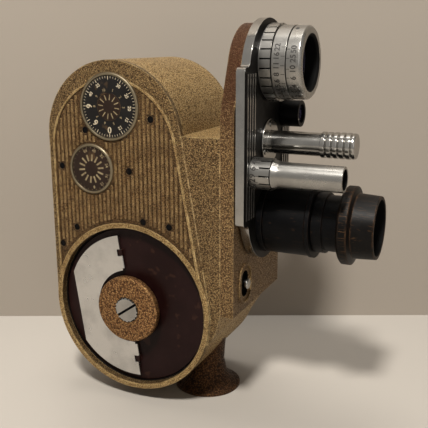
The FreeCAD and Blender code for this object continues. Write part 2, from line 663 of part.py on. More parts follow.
def build_key():
    well_rim = -s.core_half
    well_face = cover_face + s.well_deep + s.cover_thick - s.well_floor
    turned("key_well", "X", [
        (well_rim, s.well_r - s.well_wall), (well_rim, s.well_r),
        (well_face + s.well_floor, s.well_r),
        (well_face + s.well_floor, s.arbor_r + s.run_clear),
        (well_face, s.arbor_r + s.run_clear), (well_face, s.well_r - s.well_wall)],
        y=s.lower_y, z=s.lower_z)
    disc = turned("key_disc", "X",
                  tube_profile(disc_face, disc_face + s.disc_thick, s.disc_r, s.arbor_r),
                  y=s.lower_y, z=s.lower_z)
    for side in (1, -1):
        ear = new_sketch(disc, "YZ_Plane", disc_face - s.key_lift - s.key_thick)
        draw_box(ear, s.key_inner - s.knuckle_r, s.key_inner + s.knuckle_r,
                 s.ear_from * side, (s.ear_from + s.ear_wide) * side)
        pad(disc, ear, s.key_lift + s.key_thick + s.disc_thick / 2)
    arbor_end = s.mid_x - s.mid_wall / 2 - s.run_clear
    turned("winding_arbor", "X", [
        (disc_face, 0), (disc_face, s.arbor_r), (s.mid_x - s.mid_wall - s.run_clear, s.arbor_r),
        (s.mid_x - s.mid_wall - s.run_clear, s.spindle_pivot_r),
        (arbor_end, s.spindle_pivot_r), (arbor_end, 0)], y=s.lower_y, z=s.lower_z)
    boss_face = disc_face - s.boss_high
    turned("key_boss", "X", [
        (disc_face, 0), (disc_face, s.boss_neck_r), (disc_face - s.key_thick * 1.6, s.boss_neck_r),
        (disc_face - s.key_thick * 2, s.boss_r), (boss_face + s.screw_high / 2, s.boss_r),
        (boss_face, s.boss_r - s.screw_high / 2), (boss_face, s.screw_r + s.bush_clear),
        (boss_face + s.screw_high, s.screw_r + s.bush_clear), (boss_face + s.screw_high, 0)],
        y=s.lower_y, z=s.lower_z)
    screw = turned("key_screw", "X", [
        (boss_face + s.screw_high, 0), (boss_face + s.screw_high, s.screw_r),
        (boss_face - s.screw_high / 4, s.screw_r),
        (boss_face - s.screw_high / 2, s.screw_r * 0.85), (boss_face - s.screw_high / 2, 0)],
        y=s.lower_y, z=s.lower_z)
    slot = new_sketch(screw, "YZ_Plane", boss_face - s.screw_high)
    draw_box(slot, -s.screw_r * 1.1, s.screw_r * 1.1, -s.slot_wide / 2, s.slot_wide / 2)
    cut(screw, slot, s.screw_high * 1.3)

    plate_face = disc_face - s.key_lift - s.key_thick
    pin_x = disc_face - s.key_lift - s.key_thick / 2
    plate = new_piece("key_plate", y=s.lower_y, z=s.lower_z)
    sheet = new_sketch(plate, "YZ_Plane", plate_face)
    span = math.sqrt(s.key_end_r.value ** 2 - s.key_inner.value ** 2)
    draw_box(sheet, s.key_inner, s.key_outer, -s.key_end_r, s.key_end_r)
    pad(plate, sheet, s.key_thick)
    ends = new_sketch(plate, "YZ_Plane", plate_face)
    draw_circle(ends, 0, 0, s.key_end_r * 2)
    draw_circle(ends, 0, 0, s.key_end_r)
    cut(plate, ends, s.key_thick)
    middle = new_sketch(plate, "YZ_Plane", plate_face)
    draw_circle(middle, 0, 0, s.key_cut_r)
    cut(plate, middle, s.key_thick)
    for side in (1, -1):
        notch = new_sketch(plate, "YZ_Plane", plate_face)
        draw_box(notch, -s.key_notch, s.key_inner + s.key_notch,
                 (s.ear_from - s.ring_gap) * side,
                 (s.ear_from + s.ear_wide + s.ring_gap) * side)
        cut(plate, notch, s.key_thick)
    knuckle_long = s.ear_from - s.ring_gap - s.knuckle_from
    pins = new_piece("key_pins", y=s.lower_y, z=s.lower_z)
    pins.AllowCompound = True
    for low in (s.knuckle_from, -s.knuckle_from - knuckle_long):
        knuckle = new_sketch(plate, "XY_Plane", low)
        draw_circle(knuckle, pin_x, s.key_inner, s.knuckle_r)
        pad(plate, knuckle, knuckle_long)
        bore = new_sketch(plate, "XY_Plane", low)
        draw_circle(bore, pin_x, s.key_inner, s.key_pin_r + s.run_clear)
        cut(plate, bore, knuckle_long)
    pin_long = s.ear_from + s.ear_wide - s.knuckle_from
    for low in (s.knuckle_from, -s.knuckle_from - pin_long):
        pin = new_sketch(pins, "XY_Plane", low)
        draw_circle(pin, pin_x, s.key_inner, s.key_pin_r)
        pad(pins, pin, pin_long)
        hole = new_sketch(disc, "XY_Plane", low)
        draw_circle(hole, pin_x, s.key_inner, s.key_pin_r + s.bush_clear)
        cut(disc, hole, pin_long)
    for body in (disc, plate, pins):
        tilt(body, s.key_tilt)
    tilt(screw, SCREW_SLOT_TILT)

    barrel_face = well_face + s.well_floor + s.barrel_side
    turned("mainspring_barrel", "X",
           tube_profile(barrel_face, barrel_face + s.barrel_wide, s.barrel_r,
                        s.arbor_r + s.run_clear), y=s.lower_y, z=s.lower_z)


def tilt(body, angle):
    """Turn a body about X, top edge forward."""
    body.Placement = FreeCAD.Placement(body.Placement.Base, FreeCAD.Rotation(Vector(1, 0, 0), 1))
    bind(body, "Placement.Rotation.Angle", -as_size(angle))


def build_dials():
    seat = cover_face + s.dial_seat
    for name, y, z, radius in (("footage", s.count_y, s.count_z, s.count_r),
                               ("speed", s.speed_y, s.speed_z, s.speed_r)):
        inner = radius - s.bezel_wide
        turned(name + "_bezel", "X", [
            (seat, inner), (seat, radius - s.bush_clear), (cover_face, radius - s.bush_clear),
            (cover_face - s.bezel_out, radius - s.bezel_wide * 0.35),
            (cover_face - s.bezel_out, inner)], y=y, z=z)
        dial_back = seat - s.dial_under
        turned(name + "_dial", "X", [
            (cover_face - s.dial_under, 0), (cover_face - s.dial_under, inner - s.slip_clear),
            (dial_back, inner - s.slip_clear), (dial_back, s.dial_shaft_r),
            (dial_back + s.dial_shaft_long, s.dial_shaft_r), (dial_back + s.dial_shaft_long, 0)],
            y=y, z=z)


def build_release():
    floor = housing_face + s.release_deep
    head = floor - s.button_travel - s.slip_clear
    turned("release_button", "Y", [
        (head - s.button_out, 0), (head - s.button_out, s.button_r * 0.8),
        (head - s.button_out * 0.8, s.button_r), (head, s.button_r), (head, s.stem_r),
        (head + s.stem_long, s.stem_r), (head + s.stem_long, 0)],
        x=s.release_x, z=s.release_z)


def build_door():
    door = new_piece("film_door")
    plate = new_sketch(door, "YZ_Plane", s.core_half)
    draw_body_outline(plate)
    pad(door, plate, s.door_thick)
    lip = new_sketch(door, "YZ_Plane", s.core_half - s.lip_deep)
    draw_body_outline(lip, s.wall + s.slip_clear)
    draw_body_outline(lip, s.wall + s.slip_clear + s.lip_thick)
    pad(door, lip, s.lip_deep + s.door_thick / 2)
    shaft = new_sketch(door, "YZ_Plane", s.core_half)
    draw_circle(shaft, s.latch_y, s.latch_z, s.latch_shaft_r + s.run_clear)
    cut(door, shaft, s.door_thick)
    latch = turned("door_latch", "X", [
        (s.core_half - s.slip_clear, 0), (s.core_half - s.slip_clear, s.latch_shaft_r),
        (door_face + s.slip_clear, s.latch_shaft_r), (door_face + s.slip_clear, s.latch_r),
        (door_face + s.slip_clear + s.latch_thick, s.latch_r * 0.94),
        (door_face + s.slip_clear + s.latch_thick, 0)], y=s.latch_y, z=s.latch_z)
    bar = new_sketch(latch, "YZ_Plane", s.core_half - s.slip_clear - s.latch_bar_thick)
    draw_box(bar, -s.latch_bar_high / 2, s.latch_bar_high / 2,
             -s.latch_bar_long / 2, s.latch_bar_long / 2)
    pad(latch, bar, s.latch_bar_thick)
    grip = new_sketch(latch, "YZ_Plane", door_face + s.slip_clear + s.latch_thick / 2)
    draw_box(grip, -s.latch_bar_thick, s.latch_bar_thick, -s.latch_r * 0.85, s.latch_r * 0.85)
    pad(latch, grip, s.latch_thick / 2 + s.latch_grip_high)


# ---------------------------------------------------------------- turret and lenses

def upright_edges(shape, places):
    """Names of the edges along Y that stand at one of the (X, Z) places, either side of both axes."""
    names = []
    for number, edge in enumerate(shape.Edges, 1):
        start, end = edge.Vertexes[0].Point, edge.Vertexes[-1].Point
        along = abs(start.x - end.x) < 1e-6 and abs(start.z - end.z) < 1e-6
        near = any(abs(abs(start.x) - x) < 1e-3 and abs(abs(start.z) - z) < 1e-3 for x, z in places)
        if along and near:
            names.append("Edge%d" % number)
    return names


def build_turret():
    plate = new_piece("turret_plate", z=s.pivot_z)
    square = new_sketch(plate, "XZ_Plane", -turret_back)
    draw_box(square, -s.plate_half, s.plate_half, -s.plate_reach, s.plate_reach)
    pad(plate, square, s.turret_thick)
    for side in (1, -1):
        lobe = new_sketch(plate, "XZ_Plane", -turret_back)
        draw_circle(lobe, 0, s.lobe_out * side, s.lobe_r)
        tip = pad(plate, lobe, s.turret_thick)
    doc.recompute()
    reach = s.plate_reach.value
    shoulder = math.sqrt(s.lobe_r.value ** 2 - (reach - s.lobe_out.value) ** 2)
    rounded = plate.newObject("PartDesign::Fillet", "turret_plate_corners")
    rounded.Base = (tip, upright_edges(tip.Shape, [(s.plate_half.value, reach), (shoulder, reach)]))
    bind(rounded, "Radius", s.corner_r)
    plate.Tip = rounded
    ribs = new_sketch(plate, "XZ_Plane", -turret_face)
    for side in (1, -1):
        for number in (1, 2, 3, 4):
            middle = (s.plate_half - s.rib_pitch * number) * side
            draw_box(ribs, middle - s.rib_wide / 2, middle + s.rib_wide / 2,
                     -s.plate_reach + s.rib_pitch, s.plate_reach - s.rib_pitch)
    pad(plate, ribs, s.rib_high)
    for x, z, radius in ((-s.finder_x, -s.finder_drop, s.finder_ring_r),
                         (s.finder_x, s.finder_drop, s.stub_r)):
        seat = new_sketch(plate, "XZ_Plane", -turret_face)
        draw_circle(seat, x, z, radius + s.finder_ring_from)
        cut(plate, seat, s.rib_high)
    for x, z, radius in ((0, 0, s.pivot_r), (0, s.station_out, s.seat_r),
                         (0, -s.station_out, s.seat_r),
                         (-s.finder_x, -s.finder_drop, s.finder_tube_r),
                         (s.finder_x, s.finder_drop, s.finder_tube_r)):
        hole = new_sketch(plate, "XZ_Plane", -turret_back)
        draw_circle(hole, x, z, radius)
        cut(plate, hole, s.turret_thick + s.rib_high)
    end = s.post_long
    at = s.post_knurl_at
    profile = [(s.seam_y - s.run_clear, 0), (s.seam_y - s.run_clear, s.pivot_r - s.bush_clear),
               (turret_face, s.pivot_r - s.bush_clear), (turret_face, s.post_flange_r),
               (ahead(s.post_flange_thick), s.post_flange_r),
               (ahead(s.post_flange_thick), s.post_r), (ahead(at), s.post_r),
               (ahead(at), s.post_knurl_r)]
    for number in range(1, 6):
        groove = at + s.post_groove_pitch * number - s.post_groove_pitch / 3
        profile += [(ahead(groove), s.post_knurl_r),
                    (ahead(groove + s.post_groove_wide / 2), s.post_knurl_r - s.post_groove_deep),
                    (ahead(groove + s.post_groove_wide), s.post_knurl_r)]
    profile += [(ahead(end), s.post_knurl_r * 0.94), (ahead(end), 0)]
    turned("turret_post", "Y", profile, z=s.pivot_z)


def fluted(body, radius, start, end, count):
    """Cut evenly spaced grooves round the rim of a grip ring."""
    groove = new_sketch(body, "XZ_Plane", -ahead(start))
    draw_box(groove, -s.groove_wide / 2, s.groove_wide / 2,
             radius - s.groove_deep, radius + s.groove_deep)
    one = cut(body, groove, end - start)
    repeat_round(body, one, "Y_Axis", count)


def build_wide_lens():
    z = upper_lens_z
    core_end = s.wide_iris_end
    turned("wide_barrel", "Y", [
        (turret_back, s.wide_open_r * 0.7), (turret_back, s.seat_r - s.bush_clear),
        (turret_face, s.seat_r - s.bush_clear), (turret_face, s.wide_r),
        (ahead(s.wide_flange), s.wide_r), (ahead(s.wide_flange), s.wide_core_r),
        (ahead(core_end), s.wide_core_r), (ahead(core_end), s.wide_open_r),
        (ahead(s.wide_knurl_end), s.wide_open_r),
        (ahead(s.wide_knurl_end), s.wide_open_r * 0.7)], z=z)
    bore = s.wide_core_r + s.run_clear
    focus = turned("wide_focus_ring", "Y", tube_profile(
        ahead(s.wide_flange + s.ring_gap), ahead(s.wide_knurl_end), s.wide_knurl_r, bore), z=z)
    fluted(focus, s.wide_knurl_r, s.wide_flange + s.ring_gap, s.wide_knurl_end, s.wide_flutes)
    turned("wide_iris_ring", "Y", tube_profile(
        ahead(s.wide_knurl_end + s.ring_gap), ahead(core_end - s.ring_gap), s.wide_iris_r, bore),
        z=z)
    turned("wide_front", "Y", [
        (ahead(core_end), s.wide_open_r), (ahead(core_end), s.wide_r),
        (ahead(s.wide_end - s.wide_bevel), s.wide_r),
        (ahead(s.wide_end), s.wide_r - s.wide_bevel),
        (ahead(s.wide_end), s.wide_open_r + s.wide_bevel),
        (ahead(s.wide_end - s.wide_bevel), s.wide_open_r)], z=z)
    turned("wide_glass", "Y", tube_profile(
        ahead(s.wide_iris_end - s.glass_thick), ahead(s.wide_iris_end),
        s.wide_open_r - s.bush_clear), z=z)


def build_tele_lens():
    z = lens_z
    turned("tele_barrel", "Y", [
        (turret_back, s.tele_bore_r), (turret_back, s.seat_r - s.bush_clear),
        (turret_face, s.seat_r - s.bush_clear), (turret_face, s.tele_r),
        (ahead(s.tele_flange), s.tele_r), (ahead(s.tele_flange), s.tele_core_r),
        (ahead(s.tele_iris_end), s.tele_core_r), (ahead(s.tele_iris_end), s.tele_shoulder_r),
        (ahead(s.tele_shoulder_end), s.tele_shoulder_r),
        (ahead(s.tele_shoulder_end), s.tele_neck_r),
        (ahead(s.tele_neck_end), s.tele_neck_r), (ahead(s.tele_neck_end), s.tele_bore_r)], z=z)
    bore = s.tele_core_r + s.run_clear
    turned("tele_focus_ring", "Y", tube_profile(
        ahead(s.tele_flange + s.ring_gap), ahead(s.tele_focus_end - s.ring_gap),
        s.tele_r * 0.98, bore), z=z)
    turned("tele_iris_ring", "Y", tube_profile(
        ahead(s.tele_focus_end), ahead(s.tele_iris_end - s.ring_gap), s.tele_iris_r, bore), z=z)
    turned("tele_hood", "Y", [
        (ahead(s.tele_neck_end), s.tele_bore_r), (ahead(s.tele_neck_end), s.hood_flange_r * 0.93),
        (ahead(s.tele_neck_end + s.wide_bevel), s.hood_flange_r),
        (ahead(s.hood_flange_end), s.hood_flange_r),
        (ahead(s.hood_flange_end + s.wide_bevel), s.hood_tube_r),
        (ahead(s.hood_tube_end), s.hood_tube_r * 0.96), (ahead(s.hood_tube_end), s.hood_open_r),
        (ahead(s.hood_flange_end), s.hood_open_r), (ahead(s.hood_flange_end), s.tele_bore_r)],
        z=z)
    turned("tele_glass", "Y", tube_profile(
        ahead(s.tele_neck_end - s.glass_thick), ahead(s.tele_neck_end),
        s.tele_bore_r - s.bush_clear), z=z)


def build_finder_objectives():
    low_z = s.pivot_z - s.finder_drop
    outer = s.finder_tube_r - s.bush_clear
    turned("tele_finder_tube", "Y", [
        (turret_back, s.finder_bore_r), (turret_back, outer),
        (ahead(s.finder_ring_end + s.ring_gap), outer),
        (ahead(s.finder_ring_end + s.ring_gap), s.finder_ring_r * 0.94),
        (ahead(s.finder_collar_end), s.finder_tube_r * 1.02),
        (ahead(s.finder_long), s.finder_tube_r), (ahead(s.finder_long), s.finder_bore_r)],
        x=-s.finder_x, z=low_z)
    ring = turned("tele_finder_ring", "Y", tube_profile(
        ahead(s.finder_ring_from), ahead(s.finder_ring_end), s.finder_ring_r,
        outer + s.run_clear), x=-s.finder_x, z=low_z)
    fluted(ring, s.finder_ring_r, s.finder_ring_end / 2, s.finder_ring_end, s.finder_flutes)
    turned("tele_finder_glass", "Y", tube_profile(
        ahead(s.finder_long - s.glass_thick * 2), ahead(s.finder_long - s.glass_thick),
        s.finder_bore_r - s.bush_clear), x=-s.finder_x, z=low_z)
    high_z = s.pivot_z + s.finder_drop
    turned("wide_finder_tube", "Y", [
        (turret_back, s.finder_bore_r), (turret_back, outer), (turret_face, outer),
        (turret_face, s.stub_r), (ahead(s.stub_long), s.stub_r),
        (ahead(s.stub_long), s.finder_bore_r)], x=s.finder_x, z=high_z)
    turned("wide_finder_glass", "Y", tube_profile(
        ahead(s.stub_long - s.stub_rim - s.glass_thick), ahead(s.stub_long - s.stub_rim),
        s.finder_bore_r - s.bush_clear), x=s.finder_x, z=high_z)


# ---------------------------------------------------------------- build, check and write

build_main_casting()
build_front_housing()
build_mechanism_cover()
build_cover_screws()
build_foot()
build_gate()
build_shutter()
build_finder()
build_spools()
build_key()
build_dials()
build_release()
build_door()
build_turret()
build_wide_lens()
build_tele_lens()
build_finder_objectives()
doc.recompute()

for item in doc.Objects:
    if "Invalid" in item.State or "Error" in item.State:
        raise RuntimeError("%s failed: %s" % (item.Name, item.getStatusString()))
for piece in PIECES:
    if piece.Shape.isNull() or not piece.Shape.isValid():
        raise RuntimeError(piece.Label + " is not a valid solid")

os.makedirs("parts", exist_ok=True)
for piece in PIECES:
    piece.Shape.exportStep("parts/%s.step" % piece.Label)
    print("%-20s solids %2d  volume %9.1f" % (piece.Label, len(piece.Shape.Solids),
                                             piece.Shape.Volume))
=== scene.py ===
"""Dresses a spring-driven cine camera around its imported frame.

Each CAD node gets an eased copy in its own finish. Figures, ticks, beads and small screws are added on the
bodies that carry them. A plain set, four lamps and one camera stand round it. All lengths are in metres, and MM
turns millimetres into metres.
"""
import json
import math

import bmesh
import bpy
from mathutils import Matrix, Vector


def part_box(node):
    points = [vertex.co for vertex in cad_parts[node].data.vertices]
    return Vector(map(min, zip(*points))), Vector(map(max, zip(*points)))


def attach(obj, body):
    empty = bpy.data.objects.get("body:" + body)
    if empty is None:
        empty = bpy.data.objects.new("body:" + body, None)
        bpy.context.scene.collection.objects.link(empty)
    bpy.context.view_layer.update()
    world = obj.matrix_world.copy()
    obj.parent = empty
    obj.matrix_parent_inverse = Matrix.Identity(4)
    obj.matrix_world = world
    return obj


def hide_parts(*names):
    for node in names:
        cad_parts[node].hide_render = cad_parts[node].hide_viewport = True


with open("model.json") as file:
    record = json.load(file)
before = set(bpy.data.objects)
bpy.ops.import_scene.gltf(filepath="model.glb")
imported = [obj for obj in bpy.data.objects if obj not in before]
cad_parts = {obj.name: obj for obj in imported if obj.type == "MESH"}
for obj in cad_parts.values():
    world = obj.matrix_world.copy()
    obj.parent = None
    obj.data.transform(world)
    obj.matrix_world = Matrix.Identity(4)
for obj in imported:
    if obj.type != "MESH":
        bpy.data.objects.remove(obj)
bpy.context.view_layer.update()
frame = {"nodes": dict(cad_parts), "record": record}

MM = 0.001
SHARP_ABOVE = math.radians(38)      # edges that turn more than this keep a crease in the shading
BEVEL_ABOVE = math.radians(34)      # edges that turn more than this are eased
FLAT_WITHIN = math.radians(0.6)     # faces that turn less than this are joined
MERGE_WITHIN = 0.002 * MM           # points closer than this are one
VIEW_YAW = math.radians(24.534)     # the way the view looks, and the way the backdrop faces it
SUBPARTS = {part["node"]: part["material_slot"] for part in frame["record"]["subparts"]}
NODE_BODY = {node: body for body, nodes in frame["record"]["behaviour"]["bodies"].items() for node in nodes}


# ---------------------------------------------------------------- colours and node groups

def tint(red, green, blue):
    """A display colour, 0 to 255 a channel, as the linear colour that a shader takes."""
    linear = [(c / 255 / 12.92) if c <= 10 else ((c / 255 + 0.055) / 1.055) ** 2.4 for c in (red, green, blue)]
    return (*linear, 1.0)


class Net:
    """Short ways to add and join shader nodes in one node tree."""

    def __init__(self, tree):
        self.tree = tree

    def add(self, kind, settings=None, **sockets):
        """A new node: settings are its own properties, and sockets are fed by name, with _ for a space."""
        node = self.tree.nodes.new("ShaderNode" + kind)
        for key, value in (settings or {}).items():
            setattr(node, key, value)
        for key, value in sockets.items():
            self.feed(node.inputs[key.replace("_", " ")], value)
        return node

    def feed(self, socket, value):
        """Link a socket to an output, or set it to a plain value; None leaves it as it is."""
        if isinstance(value, bpy.types.NodeSocket):
            self.tree.links.new(value, socket)
        elif value is not None:
            socket.default_value = value

    def math(self, operation, first, second=None, clamp=False):
        """The result of one Math node, held between 0 and 1 if clamp."""
        node = self.add("Math", {"operation": operation, "use_clamp": clamp})
        self.feed(node.inputs[0], first)
        self.feed(node.inputs[1], second)
        return node.outputs[0]

    def mix(self, factor, first, second):
        """Two colours mixed; a Mix node's colour sockets are told apart only by their type."""
        node = self.add("Mix", {"data_type": "RGBA"})
        colour_inputs = [socket for socket in node.inputs if socket.type == "RGBA"]
        self.feed(node.inputs["Factor"], factor)
        self.feed(colour_inputs[0], first)
        self.feed(colour_inputs[1], second)
        return next(socket for socket in node.outputs if socket.type == "RGBA")

    def spread(self, value, low, high, to_low=0.0, to_high=1.0):
        """A value stretched from one range to another and held inside it."""
        node = self.add("MapRange", {"clamp": True}, Value=value, From_Min=low, From_Max=high,
                        To_Min=to_low, To_Max=to_high)
        return node.outputs["Result"]

    def place(self, scale=(1, 1, 1), turn=(0, 0, 0)):
        """Places on the object, stretched and turned for a pattern."""
        coordinates = self.add("TexCoord").outputs["Object"]
        return self.add("Mapping", None, Vector=coordinates, Scale=scale, Rotation=turn).outputs["Vector"]

    def noise(self, where, scale, detail=3.0, rough=0.55):
        """Cloudy noise between 0 and 1."""
        return self.add("TexNoise", None, Vector=where, Scale=scale, Detail=detail,
                        Roughness=rough).outputs["Fac"]


def dimmed(colour, share, lift=0.0):
    """A linear colour with each channel scaled, then lifted a little."""
    return (*[min(1.0, channel * share + lift) for channel in colour[:3]], 1.0)


def effect(name, inputs, outputs):
    """A shader node group with float inputs and outputs; returns it with its net and end nodes."""
    tree = bpy.data.node_groups.new(name, "ShaderNodeTree")
    for label, value in inputs.items():
        tree.interface.new_socket(label, in_out="INPUT", socket_type="NodeSocketFloat").default_value = value
    for label in outputs:
        tree.interface.new_socket(label, in_out="OUTPUT", socket_type="NodeSocketFloat")
    net = Net(tree)
    return tree, net, tree.nodes.new("NodeGroupInput").outputs, tree.nodes.new("NodeGroupOutput").inputs


def make_crackle():
    """Wrinkled enamel: rounded grains of uneven size with narrow valleys between them."""
    tree, net, given, gives = effect("crackle_enamel", {"Scale": 900.0, "Warp": 0.35}, ["Height", "Crest"])
    where = net.place()
    scale = given["Scale"]
    warp = net.add("TexNoise", None, Vector=where, Scale=net.math("MULTIPLY", scale, 0.6), Detail=2.0)
    push = net.add("VectorMath", {"operation": "SCALE"}, Scale=net.math("DIVIDE", given["Warp"], scale))
    net.feed(push.inputs[0], warp.outputs["Color"])
    moved = net.add("VectorMath", {"operation": "ADD"})
    net.feed(moved.inputs[0], where)
    net.feed(moved.inputs[1], push.outputs[0])
    cells = net.add("TexVoronoi", {"feature": "SMOOTH_F1"}, Vector=moved.outputs[0], Scale=scale,
                    Smoothness=0.6).outputs["Distance"]
    grain = net.noise(where, net.math("MULTIPLY", scale, 1.7), 4.0, 0.65)
    dome = net.spread(cells, 0.15, 0.75, 1.0, 0.0)
    height = net.math("ADD", net.math("MULTIPLY", dome, 0.35), net.math("MULTIPLY", grain, 0.75))
    net.feed(gives["Height"], height)
    net.feed(gives["Crest"], net.spread(height, 0.38, 0.82))
    return tree


def make_edge_wear():
    """Edges rubbed through: a mask where a softened normal leaves the true one, broken by noise."""
    tree, net, given, gives = effect("edge_wear", {"Width": 0.4, "Amount": 0.5}, ["Mask"])
    radius = net.math("MULTIPLY", given["Width"], MM)
    soft = net.add("Bevel", {"samples": 4}, Radius=radius).outputs["Normal"]
    true = net.add("NewGeometry").outputs["Normal"]
    facing = net.add("VectorMath", {"operation": "DOT_PRODUCT"})
    net.feed(facing.inputs[0], soft)
    net.feed(facing.inputs[1], true)
    edge = net.spread(facing.outputs["Value"], 0.99, 0.80)
    patches = net.spread(net.noise(net.place(), 320.0, 4.0), 0.38, 0.62)
    net.feed(gives["Mask"], net.math("MULTIPLY", net.math("MULTIPLY", edge, patches), given["Amount"], True))
    return tree


def make_scratches():
    """Fine straight scratches in three directions."""
    tree, net, given, gives = effect("fine_scratches", {"Scale": 200.0, "Amount": 0.5}, ["Mask"])
    lines = None
    for turn, stretch in ((0.4, 24.0), (1.3, 30.0), (2.5, 20.0)):
        where = net.place((stretch, 1.0, 1.0), (turn, turn * 0.7, turn * 1.4))
        line = net.spread(net.noise(where, given["Scale"], 2.0), 0.66, 0.72)
        lines = line if lines is None else net.math("MAXIMUM", lines, line)
    net.feed(gives["Mask"], net.math("MULTIPLY", lines, given["Amount"], True))
    return tree


def make_grime():
    """Soft blotches of handling and dust."""
    tree, net, given, gives = effect("handling", {"Scale": 60.0, "Amount": 0.5}, ["Mask"])
    blotch = net.spread(net.noise(net.place(), given["Scale"], 5.0, 0.6), 0.42, 0.68)
    net.feed(gives["Mask"], net.math("MULTIPLY", blotch, given["Amount"], True))
    return tree


EFFECTS = {"crackle": make_crackle(), "wear": make_edge_wear(),
           "scratches": make_scratches(), "grime": make_grime()}


class Finish(Net):
    """One material: a Principled shader and the effects that feed it."""

    def __init__(self, name, metallic=0.0, coat=0.0, specular=0.5):
        self.material = bpy.data.materials.new(name)
        self.material.use_nodes = True
        super().__init__(self.material.node_tree)
        self.shader = next(n for n in self.tree.nodes if n.type == "BSDF_PRINCIPLED")
        self.shader.inputs["Metallic"].default_value = metallic
        self.shader.inputs["Coat Weight"].default_value = coat
        self.shader.inputs["Coat Roughness"].default_value = 0.15
        self.shader.inputs["Specular IOR Level"].default_value = specular

    def effect(self, name, **values):
        """The outputs of one of the shared node groups, with some of its inputs set."""
        node = self.tree.nodes.new("ShaderNodeGroup")
        node.node_tree = EFFECTS[name]
        for key, value in values.items():
            node.inputs[key.title()].default_value = value
        return node.outputs

    def done(self, colour, rough, height=None, depth=0.1, strength=0.5):
        """Feed the shader; depth is the relief in millimetres."""
        self.feed(self.shader.inputs["Base Color"], colour)
        self.feed(self.shader.inputs["Roughness"], rough)
        if height is not None:
            bump = self.add("Bump", None, Height=height, Distance=depth * MM, Strength=strength)
            self.feed(self.shader.inputs["Normal"], bump.outputs["Normal"])
        return self.material


UPPER_BROWN = tint(64, 34, 17)
BARE_CHIP = tint(48, 32, 19)
UPPER_BROWN_BLEND = 22 * MM


def crackle_paint(name, valley, face, crest, grain, worn=0.5, brown_from=None):
    """Gold enamel with a raised grain; above the height brown_from its colour is mixed towards dark brown.

    valley, face and crest are its display colours from low to high, grain its number of grains in a metre, and
    worn how far its edges are rubbed. The darker valleys are painted shade in the grain's hollows, and the pale
    crests a painted highlight on its tops.
    """
    valley, face, crest = tint(*valley), tint(*face), tint(*crest)
    paint = Finish(name, metallic=0.78)
    relief = paint.effect("crackle", scale=grain)
    # Painted shade in the valleys of the grain and a painted highlight on its crests, mixed by the grain's height.
    colour = paint.mix(paint.spread(relief["Crest"], 0.0, 0.5), valley, face)
    colour = paint.mix(paint.spread(relief["Crest"], 0.5, 1.0, 0.0, 0.85), colour, crest)
    grime = paint.effect("grime", scale=45.0, amount=0.5)["Mask"]
    colour = paint.mix(grime, colour, paint.mix(0.55, colour, valley))
    if brown_from:
        height = paint.add("SeparateXYZ", None, Vector=paint.place()).outputs["Z"]
        high = paint.spread(height, brown_from, brown_from + UPPER_BROWN_BLEND, 0.0, 0.85)
        colour = paint.mix(high, colour, UPPER_BROWN)
    rubbed = paint.effect("wear", width=0.7, amount=worn)["Mask"]
    colour = paint.mix(rubbed, colour, crest)
    near_edge = paint.effect("wear", width=1.3, amount=worn)["Mask"]
    spots = paint.spread(paint.noise(paint.place(), 330.0), 0.54, 0.62)
    colour = paint.mix(paint.math("MULTIPLY", near_edge, spots, True), colour, BARE_CHIP)
    rough = paint.spread(relief["Crest"], 0.0, 1.0, 0.55, 0.24)
    return paint.done(colour, rough, relief["Height"], 0.5, 1.0)


def bright_metal(name, colour, rough, haze=0.12, scratch=0.5):
    """Plated or turned metal, duller and rougher where it was handled, with fine scratches."""
    colour = (*colour, 1.0)
    metal = Finish(name, metallic=1.0)
    grime = metal.effect("grime", scale=90.0, amount=0.6)["Mask"]
    scratches = metal.effect("scratches", scale=260.0, amount=scratch)["Mask"]
    tone = metal.mix(grime, colour, dimmed(colour, 0.62))
    base = metal.spread(grime, 0.0, 1.0, rough, rough + haze)
    base = metal.math("ADD", base, metal.math("MULTIPLY", scratches, 0.15), True)
    return metal.done(tone, base, metal.math("MULTIPLY", scratches, -1.0), 0.01, 0.25)


def enamel(name, colour, worn_to, rough, coat, worn, width=0.35, specular=0.2):
    """Smooth dark enamel, rubbed through along its edges; width is that of the rubbed band in millimetres."""
    colour, worn_to = tint(*colour), tint(*worn_to)
    paint = Finish(name, coat=coat, specular=specular)
    wear = paint.effect("wear", width=width, amount=worn)["Mask"]
    scratches = paint.effect("scratches", scale=180.0, amount=0.55)["Mask"]
    grime = paint.effect("grime", scale=80.0, amount=0.5)["Mask"]
    tone = paint.mix(grime, colour, dimmed(colour, 1.8, 0.003))
    tone = paint.mix(paint.math("MULTIPLY", scratches, 0.5), tone, worn_to)
    tone = paint.mix(wear, tone, worn_to)
    level = paint.spread(grime, 0.0, 1.0, rough, rough + 0.2)
    orange_peel = paint.noise(paint.place(), 2500.0, 2.0)
    return paint.done(tone, level, orange_peel, 0.02, 0.35)


def coated_glass():
    """Lens glass with a faint violet bloom and a little dust."""
    glass = Finish("lens_glass", coat=0.6)
    glass.shader.inputs["Transmission Weight"].default_value = 0.85
    glass.shader.inputs["IOR"].default_value = 1.52
    bloom = glass.mix(glass.noise(glass.place(), 120.0, 2.0), tint(120, 128, 170), tint(150, 130, 172))
    dust = glass.effect("grime", scale=300.0, amount=0.25)["Mask"]
    return glass.done(bloom, glass.spread(dust, 0.0, 1.0, 0.02, 0.16))


def ink(name, colour, faded):
    """The filling of engraved figures, thin in places."""
    colour, faded = tint(*colour), tint(*faded)
    fill = Finish(name)
    thin = fill.spread(fill.noise(fill.place(), 900.0), 0.35, 0.7, 0.0, 0.7)
    return fill.done(fill.mix(thin, colour, faded), fill.spread(thin, 0.0, 1.0, 0.55, 0.75))


